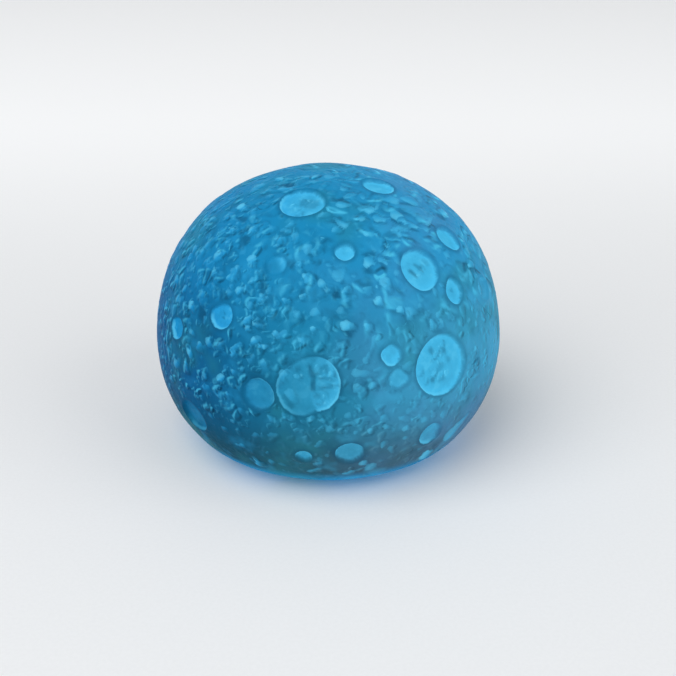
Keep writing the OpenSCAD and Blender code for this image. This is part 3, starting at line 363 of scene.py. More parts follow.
    (-152.5, 55.4, 0.5, 0.93, 23, 0.5), (-155.5, 25.5, 1.7, 0.99, -30, 0.55), (-141.7, 29.8, 1.2, 0.71, 57, 0.5),
    (-147.7, 25.4, 0.3, 1.03, -31, 0.55), (-149.9, 20.9, 0.1, 1.05, -7, 0.65), (-137, 26.9, 1.3, 1.36, -49, 0.7),
    (-140.2, 21.2, 1.3, 1.14, -31, 0.75), (-135.6, 21.8, 1, 1.2, -60, -0.8), (-158, 15.7, 0.4, 1.17, -20, 0.45),
    (-141, 16.6, 0.7, 1.25, -33, 0.4), (-132.9, 18.8, 0.9, 0.69, -95, 0.45), (-126.5, 29.3, 1.2, 0.97, 1, -0.5),
    (-169.8, 36.4, 0.5, 1.6, 58, 0.5), (-172, 41.7, 0.5, 1.46, 51, 0.4), (-165.7, 30, 0.5, 1.22, 50, 0.45),
    (-137.3, 14.4, 1.2, 0.62, -14, 0.6), (-133.3, 12.3, 0.6, 1.26, -64, 0.75), (-137, 8.8, 1.5, 1.09, -42, 0.75),
    (-139, 8.3, 1.2, 0.76, -63, -0.6), (-139.1, 5.6, 0.9, 1.2, -39, 0.6), (-144.3, 4.1, 1.1, 1.23, 8, 0.6),
    (-143.7, 2.7, 1.9, 0.54, 17, -0.6), (-150.6, 5.9, 0.8, 0.94, 15, 0.4), (-149.7, -4, 0.3, 1.13, -82, 0.4),
    (-128.7, 13.7, 1.2, 1.03, -31, 0.6), (-125.7, 13.5, 1.3, 0.99, 35, 0.6), (-123.6, 15.1, 0.8, 0.71, 56, 0.5),
    (-119.4, 14.6, 1.9, 0.8, 33, 0.85), (-119.4, 13.4, 0.2, 1.16, -77, 0.8), (-119.1, 8.7, 0.5, 0.81, -48, 0.8),
    (-123.5, 5.5, 0.6, 1.12, -60, 0.75), (-124.3, 2, 0.3, 1.19, -49, 0.5), (-121, 2.2, 0.4, 1.12, -42, 0.6),
    (-130.4, 1.7, 0.8, 1.23, -25, 0.65), (-129.6, 4.7, 1, 0.71, -31, 0.5), (-124.4, -13.9, 0.7, 0.8, -43, 0.5),
    (-124.6, 15.5, 0.8, 0.66, 7, -0.5), (-51.8, 13.4, 0.8, 0.58, 23, 0.8), (-54.7, 11.3, 1.1, 0.63, 46, 0.9),
    (-55.1, 7.3, 1, 0.66, 62, 0.85), (-60.4, 8.5, 0.5, 0.6, 74, 0.8), (-58.3, 5.9, 0.8, 0.41, 84, 0.7),
    (-55.6, 12.5, 0.7, 0.57, -74, -0.6), (-50.5, 11.6, 0.3, 0.55, -55, -0.6), (-55.5, 5.4, 0.4, 0.63, 23, -0.7),
    (-53.1, 7.6, 0.8, 0.9, 46, -0.35), (-49.4, 9.5, 0.7, 0.55, -55, -0.4), (-52.6, 4.5, 0.9, 0.54, 19, -0.4),
    (-55.4, 38.7, 1.3, 0.44, -57, -0.75), (-52.4, 41, 1.2, 0.51, -51, -0.6), (-52.7, 38.4, 1.2, 0.33, 24, 0.8),
    (-47.7, 41.9, 0.8, 0.65, -51, -0.3), (-108.3, 72.4, 1.7, 1.66, -22, -0.4), (-107.6, 71.9, 1.6, 0.44, 42, -0.5),
    (-110.1, 67.7, 0.7, 0.52, 24, 0.7), (-102.8, 73.4, 1.4, 0.56, -7, -0.35), (-94.8, 11.3, 1.7, 0.48, -71, -0.8),
    (-94.1, 8.2, 1.9, 0.48, -88, -0.8), (-88.9, 7.4, 3.1, 0.34, 11, -0.55), (-90.1, 9.4, 2.2, 0.33, -8, -0.5),
    (-91.2, 10.2, 0.8, 0.41, 8, 0.6), (-88.4, 10.6, 0.4, 0.65, -15, 0.8), (-92.9, 12.2, 0.8, 0.63, -74, 0.5),
    (-90.1, 11.6, 0.8, 0.48, -64, -0.4), (-98.7, 9.7, 0.9, 0.5, -17, 0.5), (-98.5, 11.4, 0.1, 0.66, -43, -0.5),
    (-93.1, 5.3, 0.2, 0.65, -65, -0.4), (-92.6, 3.5, 0.2, 0.7, -14, 0.5), (-87.1, 6.6, 1.9, 0.79, -85, 0.5),
    (-88.3, 12.7, 1.4, 0.79, -53, 0.45), (-101.4, 11.7, 1, 0.47, 53, 0.35),
]


def leanTo(y, x):
    return math.degrees(math.atan2(y, x))


def outlineArcs(s):
    # centre, radius, lowest and highest lean of each arc, from the heel to the crown
    side = (s["radius"] - s["sideArc"], 0.0)
    crown = (0.0, s["crownHeight"] - s["crownArc"])
    lower = (s["radius"] - s["lowerArc"], 0.0)
    heelDrop = s["heelArc"] - s["baseDrop"]
    heel = (lower[0] + math.sqrt((s["lowerArc"] - s["heelArc"]) ** 2 - heelDrop ** 2), heelDrop)
    # the shoulder's centre is where two circles round the side's and the crown's centres meet
    firstReach = s["sideArc"] - s["shoulderArc"]
    secondReach = s["crownArc"] - s["shoulderArc"]
    dx, dy = crown[0] - side[0], crown[1] - side[1]
    apart = math.hypot(dx, dy)
    along = (firstReach ** 2 - secondReach ** 2 + apart ** 2) / (2 * apart)
    across = math.sqrt(firstReach ** 2 - along ** 2) * (1 if dy < 0 else -1)
    ux, uy = dx / apart, dy / apart
    shoulder = (side[0] + along * ux - across * uy, side[1] + along * uy + across * ux)
    sideEnd = leanTo(shoulder[1] - side[1], shoulder[0] - side[0])
    crownStart = leanTo(shoulder[1] - crown[1], shoulder[0] - crown[0])
    lowerEnd = leanTo(heel[1] - lower[1], heel[0] - lower[0])
    return [
        (heel, s["heelArc"], -90.0, lowerEnd), (lower, s["lowerArc"], lowerEnd, 0.0),
        (side, s["sideArc"], 0.0, sideEnd), (shoulder, s["shoulderArc"], sideEnd, crownStart),
        (crown, s["crownArc"], crownStart, 90.0),
    ]


arcs = outlineArcs(moonSettings)
widestHeight = moonSettings["bottom"] + moonSettings["baseDrop"]


def outlinePoint(lean, inset=0.0):
    for centre, radius, low, high in arcs:
        if lean <= high:
            break
    reach = radius - inset
    turn = math.radians(lean)
    return centre[0] + reach * math.cos(turn), centre[1] + reach * math.sin(turn) + widestHeight


def leanAt(rho, z):
    lean = np.full(rho.shape, 90.0)
    height = z - widestHeight
    for centre, radius, low, high in arcs:
        a = np.degrees(np.arctan2(height - centre[1], rho - centre[0]))
        lean = np.where((a >= low - 1e-6) & (a <= high + 1e-6), a, lean)
    foot = arcs[0][0][1] - arcs[0][1]
    return np.where(height < foot + 0.001, -90.0, lean)


def wallProfile(s):
    # from the cap's edge down the outside, in over the lip, and up the inside to the axis
    outer, inner = [], []
    for centre, radius, low, high in reversed(arcs):
        top = min(high, s["capLean"])
        if top > low:
            count = max(2, int(math.radians(top - low) * radius / s["ringGap"]))
            outer += [outlinePoint(top + (low - top) * i / count) for i in range(count)]
    outer.append(outlinePoint(-90.0))
    heel, lipTop = arcs[0][0][0], s["bottom"] + s["lip"]
    outer += [(heel + (s["mouth"] - heel) * share, s["bottom"]) for share in (0.33, 0.66)]
    outer += [(s["mouth"], s["bottom"]), (s["mouth"], lipTop)]
    for centre, radius, low, high in arcs:
        count = max(1, int(math.radians(high - low) * radius / s["innerGap"]))
        inner += [outlinePoint(low + (high - low) * i / count, s["wall"]) for i in range(count)]
    inner = [(rho, max(z, lipTop)) for rho, z in inner]
    return outer + inner + [(0.0, outlinePoint(90.0, s["wall"])[1])]


def buildMoonMesh(s):
    bm = bmesh.new()
    spin(bm, [(rho, 0.0, z) for rho, z in wallProfile(s)], (0, 0, 0), s["steps"])
    # crown: a square grid drawn onto the round cap, so that no fan of slivers meets at the top
    cells = s["steps"] // 4
    for v in bmesh.ops.create_grid(bm, x_segments=cells, y_segments=cells, size=1.0)["verts"]:
        x, y = v.co.x, v.co.y
        reach = max(abs(x), abs(y))
        if reach < 1e-9:
            v.co = (0.0, 0.0, outlinePoint(90.0)[1])
            continue
        wide = abs(x) >= abs(y)
        turn = math.pi / 4 * (y / x if wide else 2 - x / y)
        rho, z = outlinePoint(90.0 - (90.0 - s["capLean"]) * reach)
        rho *= 1 if (x if wide else y) >= 0 else -1
        v.co = (rho * math.cos(turn), rho * math.sin(turn), z)
    bmesh.ops.remove_doubles(bm, verts=bm.verts, dist=0.02)
    bmesh.ops.recalc_face_normals(bm, faces=bm.faces)
    return bm


def spin(bm, profile, centre, steps):
    # turns a chain of points about the upright axis through the centre
    chain = [bm.verts.new(point) for point in profile]
    edges = [bm.edges.new(pair) for pair in zip(chain, chain[1:])]
    bmesh.ops.spin(bm, geom=chain + edges, cent=centre, axis=(0, 0, 1), angle=math.tau, steps=steps, use_merge=True)


def surfaceFrame(azimuth, lean):
    rho, z = outlinePoint(lean)
    a, b = math.radians(azimuth), math.radians(lean)
    place = np.array([rho * math.cos(a), rho * math.sin(a), z])
    outward = np.array([math.cos(b) * math.cos(a), math.cos(b) * math.sin(a), math.sin(b)])
    right = np.array([-math.sin(a), math.cos(a), 0.0])
    return place, outward, right, np.cross(outward, right)


def smoothStep(low, high, value):
    t = np.clip((value - low) / (high - low), 0, 1)
    return t * t * (3 - 2 * t)


def hashed(values):
    # even-looking numbers from 0 to 1
    return np.modf(np.abs(np.sin(values) * 43758.5453))[0]


def craterReach(number, radius, angle):
    two, three, four = craterWaves.get(number, usualWaves)
    lobes = two * np.cos(2 * angle + number) + three * np.cos(3 * angle + 2 * number) + four * np.cos(4 * angle + 0.6)
    return radius * craterGrowth.get(number, usualGrowth) * (1 + lobes)


def sortIntoCells(points, size):
    keys = np.floor(points / size).astype(int)
    order = np.lexsort(keys.T)
    breaks = np.nonzero(np.any(np.diff(keys[order], axis=0) != 0, axis=1))[0] + 1
    return {tuple(keys[group[0]]): group for group in np.split(order, breaks)}


def nearPoints(points, azimuth, lean, reach, cells=None, size=1.0):
    # the points round a place on the surface, and where they lie to the right of it and above it
    place, outward, right, up = surfaceFrame(azimuth, lean)
    if cells:
        low, high = (np.floor((place + way * reach) / size).astype(int) for way in (-1, 1))
        spans = [range(a, b + 1) for a, b in zip(low, high)]
        keys = [(x, y, z) for x in spans[0] for y in spans[1] for z in spans[2]]
        near = np.concatenate([cells[key] for key in keys if key in cells] or [np.zeros(0, int)])
    else:
        near = np.nonzero(np.abs(points - place).max(axis=1) < reach)[0]
    w = points[near] - place
    return near, w @ right, w @ up, (right, up)


def attractToRims(points, craters, s):
    for number, (azimuth, lean, radius) in enumerate(craters):
        near, u, v, (right, up) = nearPoints(points, azimuth, lean, radius + 4)
        d = np.hypot(u, v) + 1e-9
        rim = craterReach(number, radius, np.arctan2(v, u))
        reach = min(s["rimPull"], radius * 0.7)
        off = (d - rim) / reach
        pulled = np.where(np.abs(off) < 1, rim + np.sign(off) * reach * np.abs(off) ** 2.2, d)
        points[near] += (pulled - d)[:, None] * ((u / d)[:, None] * right + (v / d)[:, None] * up)
    return points


def backToOutline(points):
    rho, z = np.hypot(points[:, 0], points[:, 1]), points[:, 2]
    lean = leanAt(rho, z)
    azimuth = np.arctan2(points[:, 1], points[:, 0])
    newRho, newZ = rho.copy(), z.copy()
    for centre, radius, low, high in arcs:
        here = (lean > low) & (lean <= high) if high > -89 else lean <= high
        a = np.radians(lean[here])
        newRho[here] = centre[0] + radius * np.cos(a)
        newZ[here] = centre[1] + radius * np.sin(a) + widestHeight
    top = lean >= 89.999
    newRho[top], newZ[top] = rho[top], z[top]
    placed = np.stack([newRho * np.cos(azimuth), newRho * np.sin(azimuth), newZ], 1)
    b = np.radians(lean)
    outward = np.stack([np.cos(b) * np.cos(azimuth), np.cos(b) * np.sin(azimuth), np.sin(b)], 1)
    return placed, outward, lean


def floorRelief(kind, number, u, v, d, angle, radius):
    share = np.clip(d / radius, 0, 1)
    if kind == "hammered":
        return 1 - smoothStep(0.36, 0.66, share)
    if kind == "rayed":
        band = smoothStep(0.2, 0.5, share) * (1 - smoothStep(0.8, 0.94, share))
        wave = np.sin(angle * 11 + 1.5 * np.sin(d * 0.9)) * band
        gash = np.exp(-(np.abs(u - 0.1 * radius * np.sin(v * 0.5)) / 0.8) ** 2)
        return 0.8 * wave - 1.2 * gash * smoothStep(0.62, 0.4, np.abs(v - 0.1 * radius) / radius)
    relief = np.zeros(len(u))
    if kind == "pitted":
        for k in range(5):
            pu = radius * 0.45 * (hashed(number + k * 1.3) - 0.5)
            pv = radius * 0.6 * (hashed(number * 2 + k * 2.1) - 0.5)
            relief -= 1.6 * np.exp(-((u - pu) ** 2 + (v - pv) ** 2) / 0.12)
    return relief


def craterLook(number, isDeep):
    if number in craterFloorsAndLitLips:
        return craterFloorsAndLitLips[number]
    if isDeep:
        return 0.45 + 0.5 * hashed(number * 1.7 + 0.3), floorKinds[int(hashed(number * 3.1) * 4)], 225
    return 0.2 + 0.25 * hashed(number * 2.3), "plain", 225


def craterFields(points, s):
    field = {name: np.zeros(len(points)) for name in ("side", "tone", "floor", "depth", "raised")}
    field["rim"] = np.full(len(points), -9.0)
    for number, (azimuth, lean, radius) in enumerate(deepCraters + shallowCraters):
        isDeep = number < len(deepCraters)
        bright, kind, lipSide = craterLook(number, isDeep)
        near, u, v, axes = nearPoints(points, azimuth, lean, radius + 6)
        d = np.hypot(u, v) + 1e-9
        angle = np.arctan2(v, u)
        inside = craterReach(number, radius, angle) - d
        depth = s["deep"] if isDeep else s["shallow"]
        slope = depth * math.tan(math.radians(s["craterSlope"]))
        # tone holds the floor's painted glow, brighter towards one side on rayed and crescent floors; side holds
        # where the lip's painted highlight lies, and crescent and soft floors have none
        light = bright + 0.36 * smoothStep(-0.7, 0.9, (u * 0.95 - v * 0.3) / radius) * (kind == "rayed")
        lip = np.cos(angle - math.radians(lipSide))
        if kind == "crescent":
            light = bright * (0.1 + 0.9 * smoothStep(-0.1, 0.75, (u * 0.8 + v * 0.6) / radius))
        if kind in ("crescent", "soft"):
            lip = lip * 0 - 1
        relief = floorRelief(kind, number, u, v, d, angle, radius) * (inside > slope)
        # where craters meet, a point belongs to the one that it lies deepest in
        better = inside > field["rim"][near]
        values = {"rim": inside, "side": lip, "tone": np.broadcast_to(light, inside.shape), "floor": relief}
        for name, value in values.items():
            field[name][near[better]] = value[better]
        fall = depth * np.clip(inside / slope, 0, 1)
        raised = s["rimRise"] * np.exp(-(np.maximum(-inside, 0) / s["rimFade"]) ** 2) * (inside <= 0)
        for name, value in (("depth", fall), ("raised", raised)):
            field[name][near] = np.maximum(field[name][near], value)
    return field


def scatteredMarks(s):
    # the sides that the front marks don't reach get forms of the same kinds; the front gets a few faint ones
    rng = np.random.default_rng(s["seed"])
    golden = math.pi * (3 - math.sqrt(5))
    marks = []
    for i in range(s["scattered"]):
        height = -0.6 + 1.58 * (i + 0.5) / s["scattered"]
        lean = math.degrees(math.asin(height)) + rng.normal(0, 1.0)
        azimuth = math.degrees(i * golden) + rng.normal(0, 1.5)
        outward = surfaceFrame(azimuth, lean)[1]
        shown = smoothStep(0.02, 0.2, outward @ np.array(s["viewFrom"]))
        low = smoothStep(4, -14, lean)
        # the ground is densest on the left
        rough = smoothStep(-0.1, -0.5, outward[0]) * (1 - low)
        length, width = rng.uniform(0.1, 1.3), rng.uniform(0.3, 0.85)
        large = rng.random() < 0.24 * (1 - shown)
        if large:
            length, width = rng.uniform(0.4, 1.8), rng.uniform(0.7, 1.25)
        if lean > 48:
            length, width = rng.uniform(0.8, 3.0), rng.uniform(0.35, 0.9)
        strength = rng.uniform(0.35, 0.75) * (1 - 0.4 * low) + 0.2 * large
        if rng.random() < 0.3:
            strength = -0.8 * strength
        if rng.random() > (0.8 if shown < 0.5 else 0.2 + 0.3 * rough):
            continue
        strength *= 1 - 0.4 * shown
        marks.append((azimuth, lean, length, width, rng.uniform(-180, 180), strength))
    return marks


def layMarks(points, cells, size, marks, field, allowed):
    edge, light, slope, shade = (field[name] for name in ("edge", "light", "slope", "shade"))
    for azimuth, lean, half, width, turn, strength in marks:
        near, u, v, axes = nearPoints(points, azimuth, lean, half + width + 1.4, cells, size)
        a = math.radians(turn)
        along, across = u * math.cos(a) + v * math.sin(a), v * math.cos(a) - u * math.sin(a)
        # a bar with round ends that grows from its start to its end, a little bent
        share = np.clip(along / (half + 0.01), -1, 1)
        across = across + 0.12 * width * (1 - share ** 2) * (1 if hashed(azimuth + lean) > 0.5 else -1)
        d = np.hypot(np.maximum(np.abs(along) - half, 0), across)
        wave = 0.09 * np.sin(along * 2.3 + azimuth) + 0.09 * np.sin(across * 3.1 + lean)
        growth = 0.5 * share * (1 if hashed(lean * 3.3) > 0.5 else -1)
        t = width * (1.02 + growth) + wave * min(1, width) - d
        # each form is lit from one side: from the left, but from below on the upper right
        lit = math.radians((235 if lean > 38 and azimuth > -85 else 150) + 70 * (hashed(azimuth * 1.7) - 0.5))
        facing = (u * math.cos(lit) + v * math.sin(lit)) / (width + 0.4 * half)
        if strength < 0:
            shade[near] = np.maximum(shade[near], -strength * smoothStep(-0.75, 0.35, t) * allowed[near])
            continue
        better = (t > -1.3) & (t > edge[near]) & (allowed[near] > 0.3)
        chosen = near[better]
        edge[chosen], light[chosen] = t[better], strength * allowed[chosen]
        # slope here is how far each point faces the form's painted light, not a slope of the surface
        slope[chosen] = np.clip(facing[better], -1, 1)
        # a soft shadow behind a lit form
        behind = smoothStep(-1.2, -0.2, t) * smoothStep(0.3, -0.3, t) * smoothStep(0.1, -0.9, facing)
        shade[near] = np.maximum(shade[near], 0.75 * strength * behind * allowed[near])


def onOutline(co, s):
    # which points of the raw mesh belong to the outer skin
    rho, z = np.hypot(co[:, 0], co[:, 1]), co[:, 2]
    lean = leanAt(rho, z)
    outer = np.zeros(len(co), bool)
    for centre, radius, low, high in arcs:
        reach = np.hypot(rho - centre[0], z - widestHeight - centre[1])
        outer |= (np.abs(reach - radius) < 0.01) & (lean >= low - 1e-3) & (lean <= high + 1e-3)
    return outer & (z > s["bottom"] + 0.01)


def shapeMoon(bm, s):
    mesh = bpy.data.meshes.new("moonShade")
    bm.to_mesh(mesh)
    bm.free()
    co = np.zeros(len(mesh.vertices) * 3, np.float32)
    mesh.vertices.foreach_get("co", co)
    co = co.reshape(-1, 3).astype(float)
    outer = onOutline(co, s)
    points = attractToRims(co[outer].copy(), deepCraters + shallowCraters, s)
    points, outward, lean = backToOutline(points)
    field = craterFields(points, s)
    total = len(points)
    field.update(edge=np.full(total, -3.0), light=np.zeros(total), slope=np.zeros(total), shade=np.zeros(total))
    cells = sortIntoCells(points, s["cell"])
    layMarks(points, cells, s["cell"], scatteredMarks(s), field, smoothStep(-0.3, -1.6, field["rim"]))
    layMarks(points, cells, s["cell"], frontMarks, field, np.ones(total))
    lift = s["markRise"] * field["light"] * smoothStep(-0.7, 0.5, field["edge"]) - s["markDip"] * field["shade"]
    x, y, z = points.T
    swell = np.sin(x * 0.21 + 1.3 * np.sin(z * 0.17)) * np.sin(y * 0.19 + 0.7) * np.sin(z * 0.16 + 2.0) * s["swell"]
    ground = s["groundDrop"] - lift - field["raised"] + swell * smoothStep(-0.3, -2.2, field["rim"])
    floor = s["floorDrop"] + field["depth"] - s["floorRelief"] * field["floor"] - 0.3 * lift
    inward = np.clip(np.where(field["rim"] > 0, floor, ground), 0.0, s["deepest"])
    inward *= smoothStep(*s["flatBelow"], lean)
    co[outer] = points - outward * inward[:, None]
    mesh.vertices.foreach_set("co", (co * mm).astype(np.float32).ravel())
    kept = (np.clip(field["rim"], -5, 12), field["side"], field["tone"], field["floor"],
            np.clip(field["edge"], -3, 3), field["light"], field["slope"], field["shade"])
    for (name, rest), values in zip(fieldRests.items(), kept):
        full = np.full(len(co), rest, np.float32)
        full[outer] = values
        mesh.attributes.new(name, "FLOAT", "POINT").data.foreach_set("value", full)
    mesh.shade_smooth()
    mesh.update()
    moon = bpy.data.objects.new("moonShade", mesh)
    bpy.context.scene.collection.objects.link(moon)
    return moon


print("moon: building")
moon = shapeMoon(buildMoonMesh(moonSettings), moonSettings)
print("moon:", len(moon.data.vertices), "points", len(moon.data.polygons), "faces")


vinylSettings = {
    # spark paints highlights, lit sides and pale mottles on the floors, the three pale colours paint lit sides of
    # chips, dark paints shade round craters and behind forms besides random dark patches, and the blues and brights
    # hold the painted glow
    "leftBlue": (2, 86, 136), "middleBlue": (26, 118, 152), "rightBlue": (60, 150, 190), "topBlue": (24, 140, 196),
    "lowLeft": (6, 68, 90), "lowRight": (56, 92, 108), "heelBlue": (30, 132, 186),
    "tint": (70, 120, 168), "teal": (36, 122, 138), "dark": (8, 64, 96),
    "brightLeft": (26, 148, 212), "brightRight": (68, 182, 228), "spark": (94, 202, 240),
    "pale": (70, 184, 224), "lowPale": (92, 150, 174), "leftPale": (44, 126, 166),
    "glow": 0.74, "skin": 0.34, "sheen": 0.03,
    # where the light on the chips comes from: leftwards, outwards and upwards
    "litLow": (0.85, 0.0, 0.4), "litHigh": (0.4, 0.85, -0.25),
    # size of the chips as cells in a metre, the share of them that is there, and the reach of their lit sides
    "scales": (125.0, 0.95, 0.0009), "coarse": (210.0, 0.88, 0.0008), "fine": (350.0, 0.62, 0.0005),
    "hammer": (330.0, 0.95, 0.0006),
    # how much each of them pales its lit side and darkens the other
    "scalesLight": (1.5, 0.6), "coarseLight": (0.62, 0.42), "fineLight": (0.36, 0.22), "hammerLight": (0.8, 0.17),
    "formLight": (0.4, 0.4),
}


def chipLight(tree, place, way, scale, cover, reach):
    # height of the chips, and how far each point faces the light
    beyond = vector(tree, "ADD", place, scaled(tree, way, reach))
    height, further = (useGroup(tree, moonChips, Vector=at, Scale=scale, Cover=cover)["Height"] for at in (place, beyond))
    return height, minus(tree, height, further)


def shaded(tree, colour, facing, pale, gain, loss):
    # pales what faces the light and darkens what turns away from it
    level = mapped(tree, facing, 0.0, -0.6, 1.0, 1.0 - loss, smooth=False)
    darker = mixed(tree, 1.0, colour, level, "MULTIPLY")
    return mixed(tree, mapped(tree, facing, 0.0, 0.6, 0.0, gain, smooth=False), darker, pale)


def groundColour(tree, axes, cloud, patch, bright, s):
    # deep blue on the left, greyer and paler to the right, dark and teal below: the inner light is painted, brighter
    # on the crown and along the heel and darker on the lower side
    zone = mixed(tree, mapped(tree, axes["X"], -0.05, 0.0), s["leftBlue"], s["middleBlue"])
    zone = washed(tree, zone, s["rightBlue"], axes["X"], -0.006, 0.038)
    # painted light: the crown glows brighter
    zone = washed(tree, zone, s["topBlue"], axes["Z"], 0.05, 0.085, 0.65)
    # painted shade: the lower side is darker, its edge waving with the cloud
    lowBlue = mixed(tree, mapped(tree, axes["X"], -0.04, 0.035), s["lowLeft"], s["lowRight"])
    waving = plus(tree, axes["Z"], times(tree, cloud, 0.014))
    zone = washed(tree, zone, lowBlue, waving, 0.052, 0.02)
    # painted light: a brighter band along the heel
    zone = washed(tree, zone, s["heelBlue"], axes["Z"], 0.0115, 0.0055)
    right = times(tree, mapped(tree, axes["X"], -0.02, 0.05), 0.45)
    zone = washed(tree, zone, s["tint"], cloud, 0.5, 0.66, right)
    zone = washed(tree, zone, s["teal"], cloud, 0.5, 0.36, 0.45)
    zone = washed(tree, zone, bright, patch, 0.52, 0.74, 0.22)
    return washed(tree, zone, s["dark"], patch, 0.46, 0.26, 0.3)


def litWay(tree, place, axes, s):
    # the chips are lit from the left and, on the upper right, from below
    outwards = vector(tree, "NORMALIZE", vector(tree, "MULTIPLY", place, (1.0, 1.0, 0.0)))
    leftwards = vector(tree, "CROSS_PRODUCT", outwards, (0.0, 0.0, 1.0))
    ways = []
    for left, out, up in (s["litLow"], s["litHigh"]):
        part = vector(tree, "MULTIPLY_ADD", outwards, (out,) * 3, (0.0, 0.0, up))
        ways.append(vector(tree, "MULTIPLY_ADD", leftwards, (left,) * 3, part))
    upperRight = times(tree, mapped(tree, axes["X"], -0.012, 0.012), mapped(tree, axes["Z"], 0.056, 0.07))
    change = vector(tree, "MULTIPLY", vector(tree, "SUBTRACT", ways[1], ways[0]), upperRight)
    return vector(tree, "ADD", ways[0], change)


def chipShares(tree, axes, rim, low):
    # where the chips of each size are: scales on the crown, and few small ones on the right and below
    left = mapped(tree, axes["X"], 0.015, -0.02)
    clear = mapped(tree, rim, -0.2, -1.4)
    crown = times(tree, mapped(tree, axes["X"], -0.03, 0.01), mapped(tree, axes["Z"], 0.056, 0.072))
    calm = times(tree, clear, mapped(tree, crown, 0.0, 1.0, 1.0, 0.3))
    lowCoarse = mapped(tree, low, 0.0, 1.0, 1.0, mapped(tree, axes["X"], -0.03, 0.02, 0.22, 0.42))
    someFine = times(tree, mapped(tree, left, 0.0, 1.0, 0.4, 1.0), mapped(tree, low, 0.0, 1.0, 1.0, 0.25))
    return times(tree, clear, crown), times(tree, calm, lowCoarse), times(tree, calm, someFine)


def craterColour(tree, place, way, zone, bright, rim, lipSide, floorGlow, relief, s):
    # floors painted with the glow that comes through the thinner wall, palest near the rim, with one crisp side and
    # one soft side
    floor = mixed(tree, floorGlow, zone, bright)
    floor = mixed(tree, mapped(tree, relief, -0.1, -1.3, 0.0, 0.6), floor, zone)
    floor = mixed(tree, mapped(tree, rim, 0.8, 3.2, 0.0, 0.16), floor, s["middleBlue"])
    mottle = noiseIn(tree, place, 260.0, 3.0)
    floor = washed(tree, floor, s["spark"], mottle, 0.5, 0.68, times(tree, floorGlow, 0.3))
    floor = mixed(tree, mapped(tree, mottle, 0.5, 0.32, 0.0, 0.24), floor, zone)
    facing = times(tree, chipLight(tree, place, way, *s["hammer"])[1], mapped(tree, relief, 0.0, 1.0))
    floor = shaded(tree, floor, facing, tone(*s["spark"]), *s["hammerLight"])
    # a painted highlight along one side of the lip
    lip = times(tree, mapped(tree, rim, 0.9, 0.2), mapped(tree, lipSide, 0.1, 0.9))
    lip = times(tree, lip, mapped(tree, floorGlow, 0.0, 0.8, 0.15, 0.6))
    floor = mixed(tree, lip, floor, s["spark"])
    # painted shade in a ring just outside the rim, strongest on the side of the lit lip
    surround = times(tree, mapped(tree, rim, -1.9, -0.1), mapped(tree, lipSide, 1.0, -1.0, 0.42, 0.22))
    surround = times(tree, surround, mapped(tree, floorGlow, 0.05, 0.4, 0.2, 1.0))
    inside = mapped(tree, rim, -0.2, mapped(tree, lipSide, 0.6, -0.8, 0.2, 1.3))
    return mixed(tree, inside, mixed(tree, surround, zone, s["dark"]), floor)


def makeVinyl(s):
    material, tree, shader = newMaterial("moonVinyl")
    place, axes = objectPlace(tree)
    read = {name: addNode(tree, "ShaderNodeAttribute", attribute_name=name).outputs["Fac"] for name in fieldRests}
    markLight, markLitSide = read["markLight"], read["markLitSide"]
    # outlines run a little unevenly
    ragged = minus(tree, noiseIn(tree, place, 520.0), 0.5)
    markEdge = plus(tree, read["markEdge"], times(tree, ragged, 1.5))
    rim = plus(tree, read["craterRim"], times(tree, ragged, 0.5))
    cloud, patch, grain = (noiseIn(tree, place, *size) for size in ((26.0, 3.0), (110.0, 2.0), (900.0, 3.0)))

    bright = mixed(tree, mapped(tree, axes["X"], -0.055, 0.012), s["brightLeft"], s["brightRight"])
    zone = groundColour(tree, axes, cloud, patch, bright, s)
    low = mapped(tree, axes["Z"], 0.038, 0.022)
    lowPale = mixed(tree, mapped(tree, axes["X"], -0.04, 0.02), s["leftPale"], s["lowPale"])
    pale = mixed(tree, low, s["pale"], lowPale)
    way = litWay(tree, place, axes, s)
    chips = {}
    for name, share in zip(("scales", "coarse", "fine"), chipShares(tree, axes, rim, low)):
        high, facing = chipLight(tree, place, way, *s[name])
        chips[name] = high, facing, share
        zone = shaded(tree, zone, times(tree, facing, share), pale, *s[name + "Light"])
    colour = craterColour(tree, place, way, zone, bright, rim, read["craterSide"], read["craterGlow"],
                          read["craterFloor"], s)

    # small forms: lit on one side, faded and shaded on the other
    colour = mixed(tree, times(tree, read["markShade"], 0.7, clamp=True), colour, s["dark"])
    spread = plus(tree, mapped(tree, markEdge, -0.25, 0.1, 0.0, 0.65), mapped(tree, markEdge, -0.1, 0.9, 0.0, 0.35))
    spread = times(tree, times(tree, spread, markLight), mapped(tree, markLitSide, -0.9, 0.5, 0.12, 1.1), clamp=True)
    markColour = washed(tree, bright, s["spark"], markLitSide, 0.1, 0.9, markLight)
    colour = mixed(tree, times(tree, spread, 0.8), colour, markColour)
    facing = times(tree, chips["fine"][1], times(tree, spread, 0.6))
    colour = shaded(tree, colour, facing, tone(*s["spark"]), *s["formLight"])

    coarse, fine, scales = (times(tree, chips[name][0], chips[name][2]) for name in ("coarse", "fine", "scales"))
    height = plus(tree, coarse, times(tree, fine, 0.6))
    marks = times(tree, mapped(tree, markEdge, -0.5, 0.8), markLight)
    for layer, share in ((marks, 0.9), (scales, 1.4), (patch, 0.4), (grain, 0.08)):
        height = plus(tree, height, times(tree, layer, share))
    fill(shader, {
        "Base Color": mixed(tree, 1.0, colour, (s["skin"],) * 3 + (1.0,), "MULTIPLY"),
        "Emission Color": colour, "Emission Strength": s["glow"],
        "Roughness": mapped(tree, grain, 0.35, 0.65, 0.44, 0.6), "Specular IOR Level": s["sheen"],
        "Normal": bumped(tree, height, 1.0, 0.0005)})
    return material


moon.data.materials.append(makeVinyl(vinylSettings))
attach(moon, "lamp")
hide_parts("moon_shade")
print("moon: dressed")


# finishes of the module's pieces


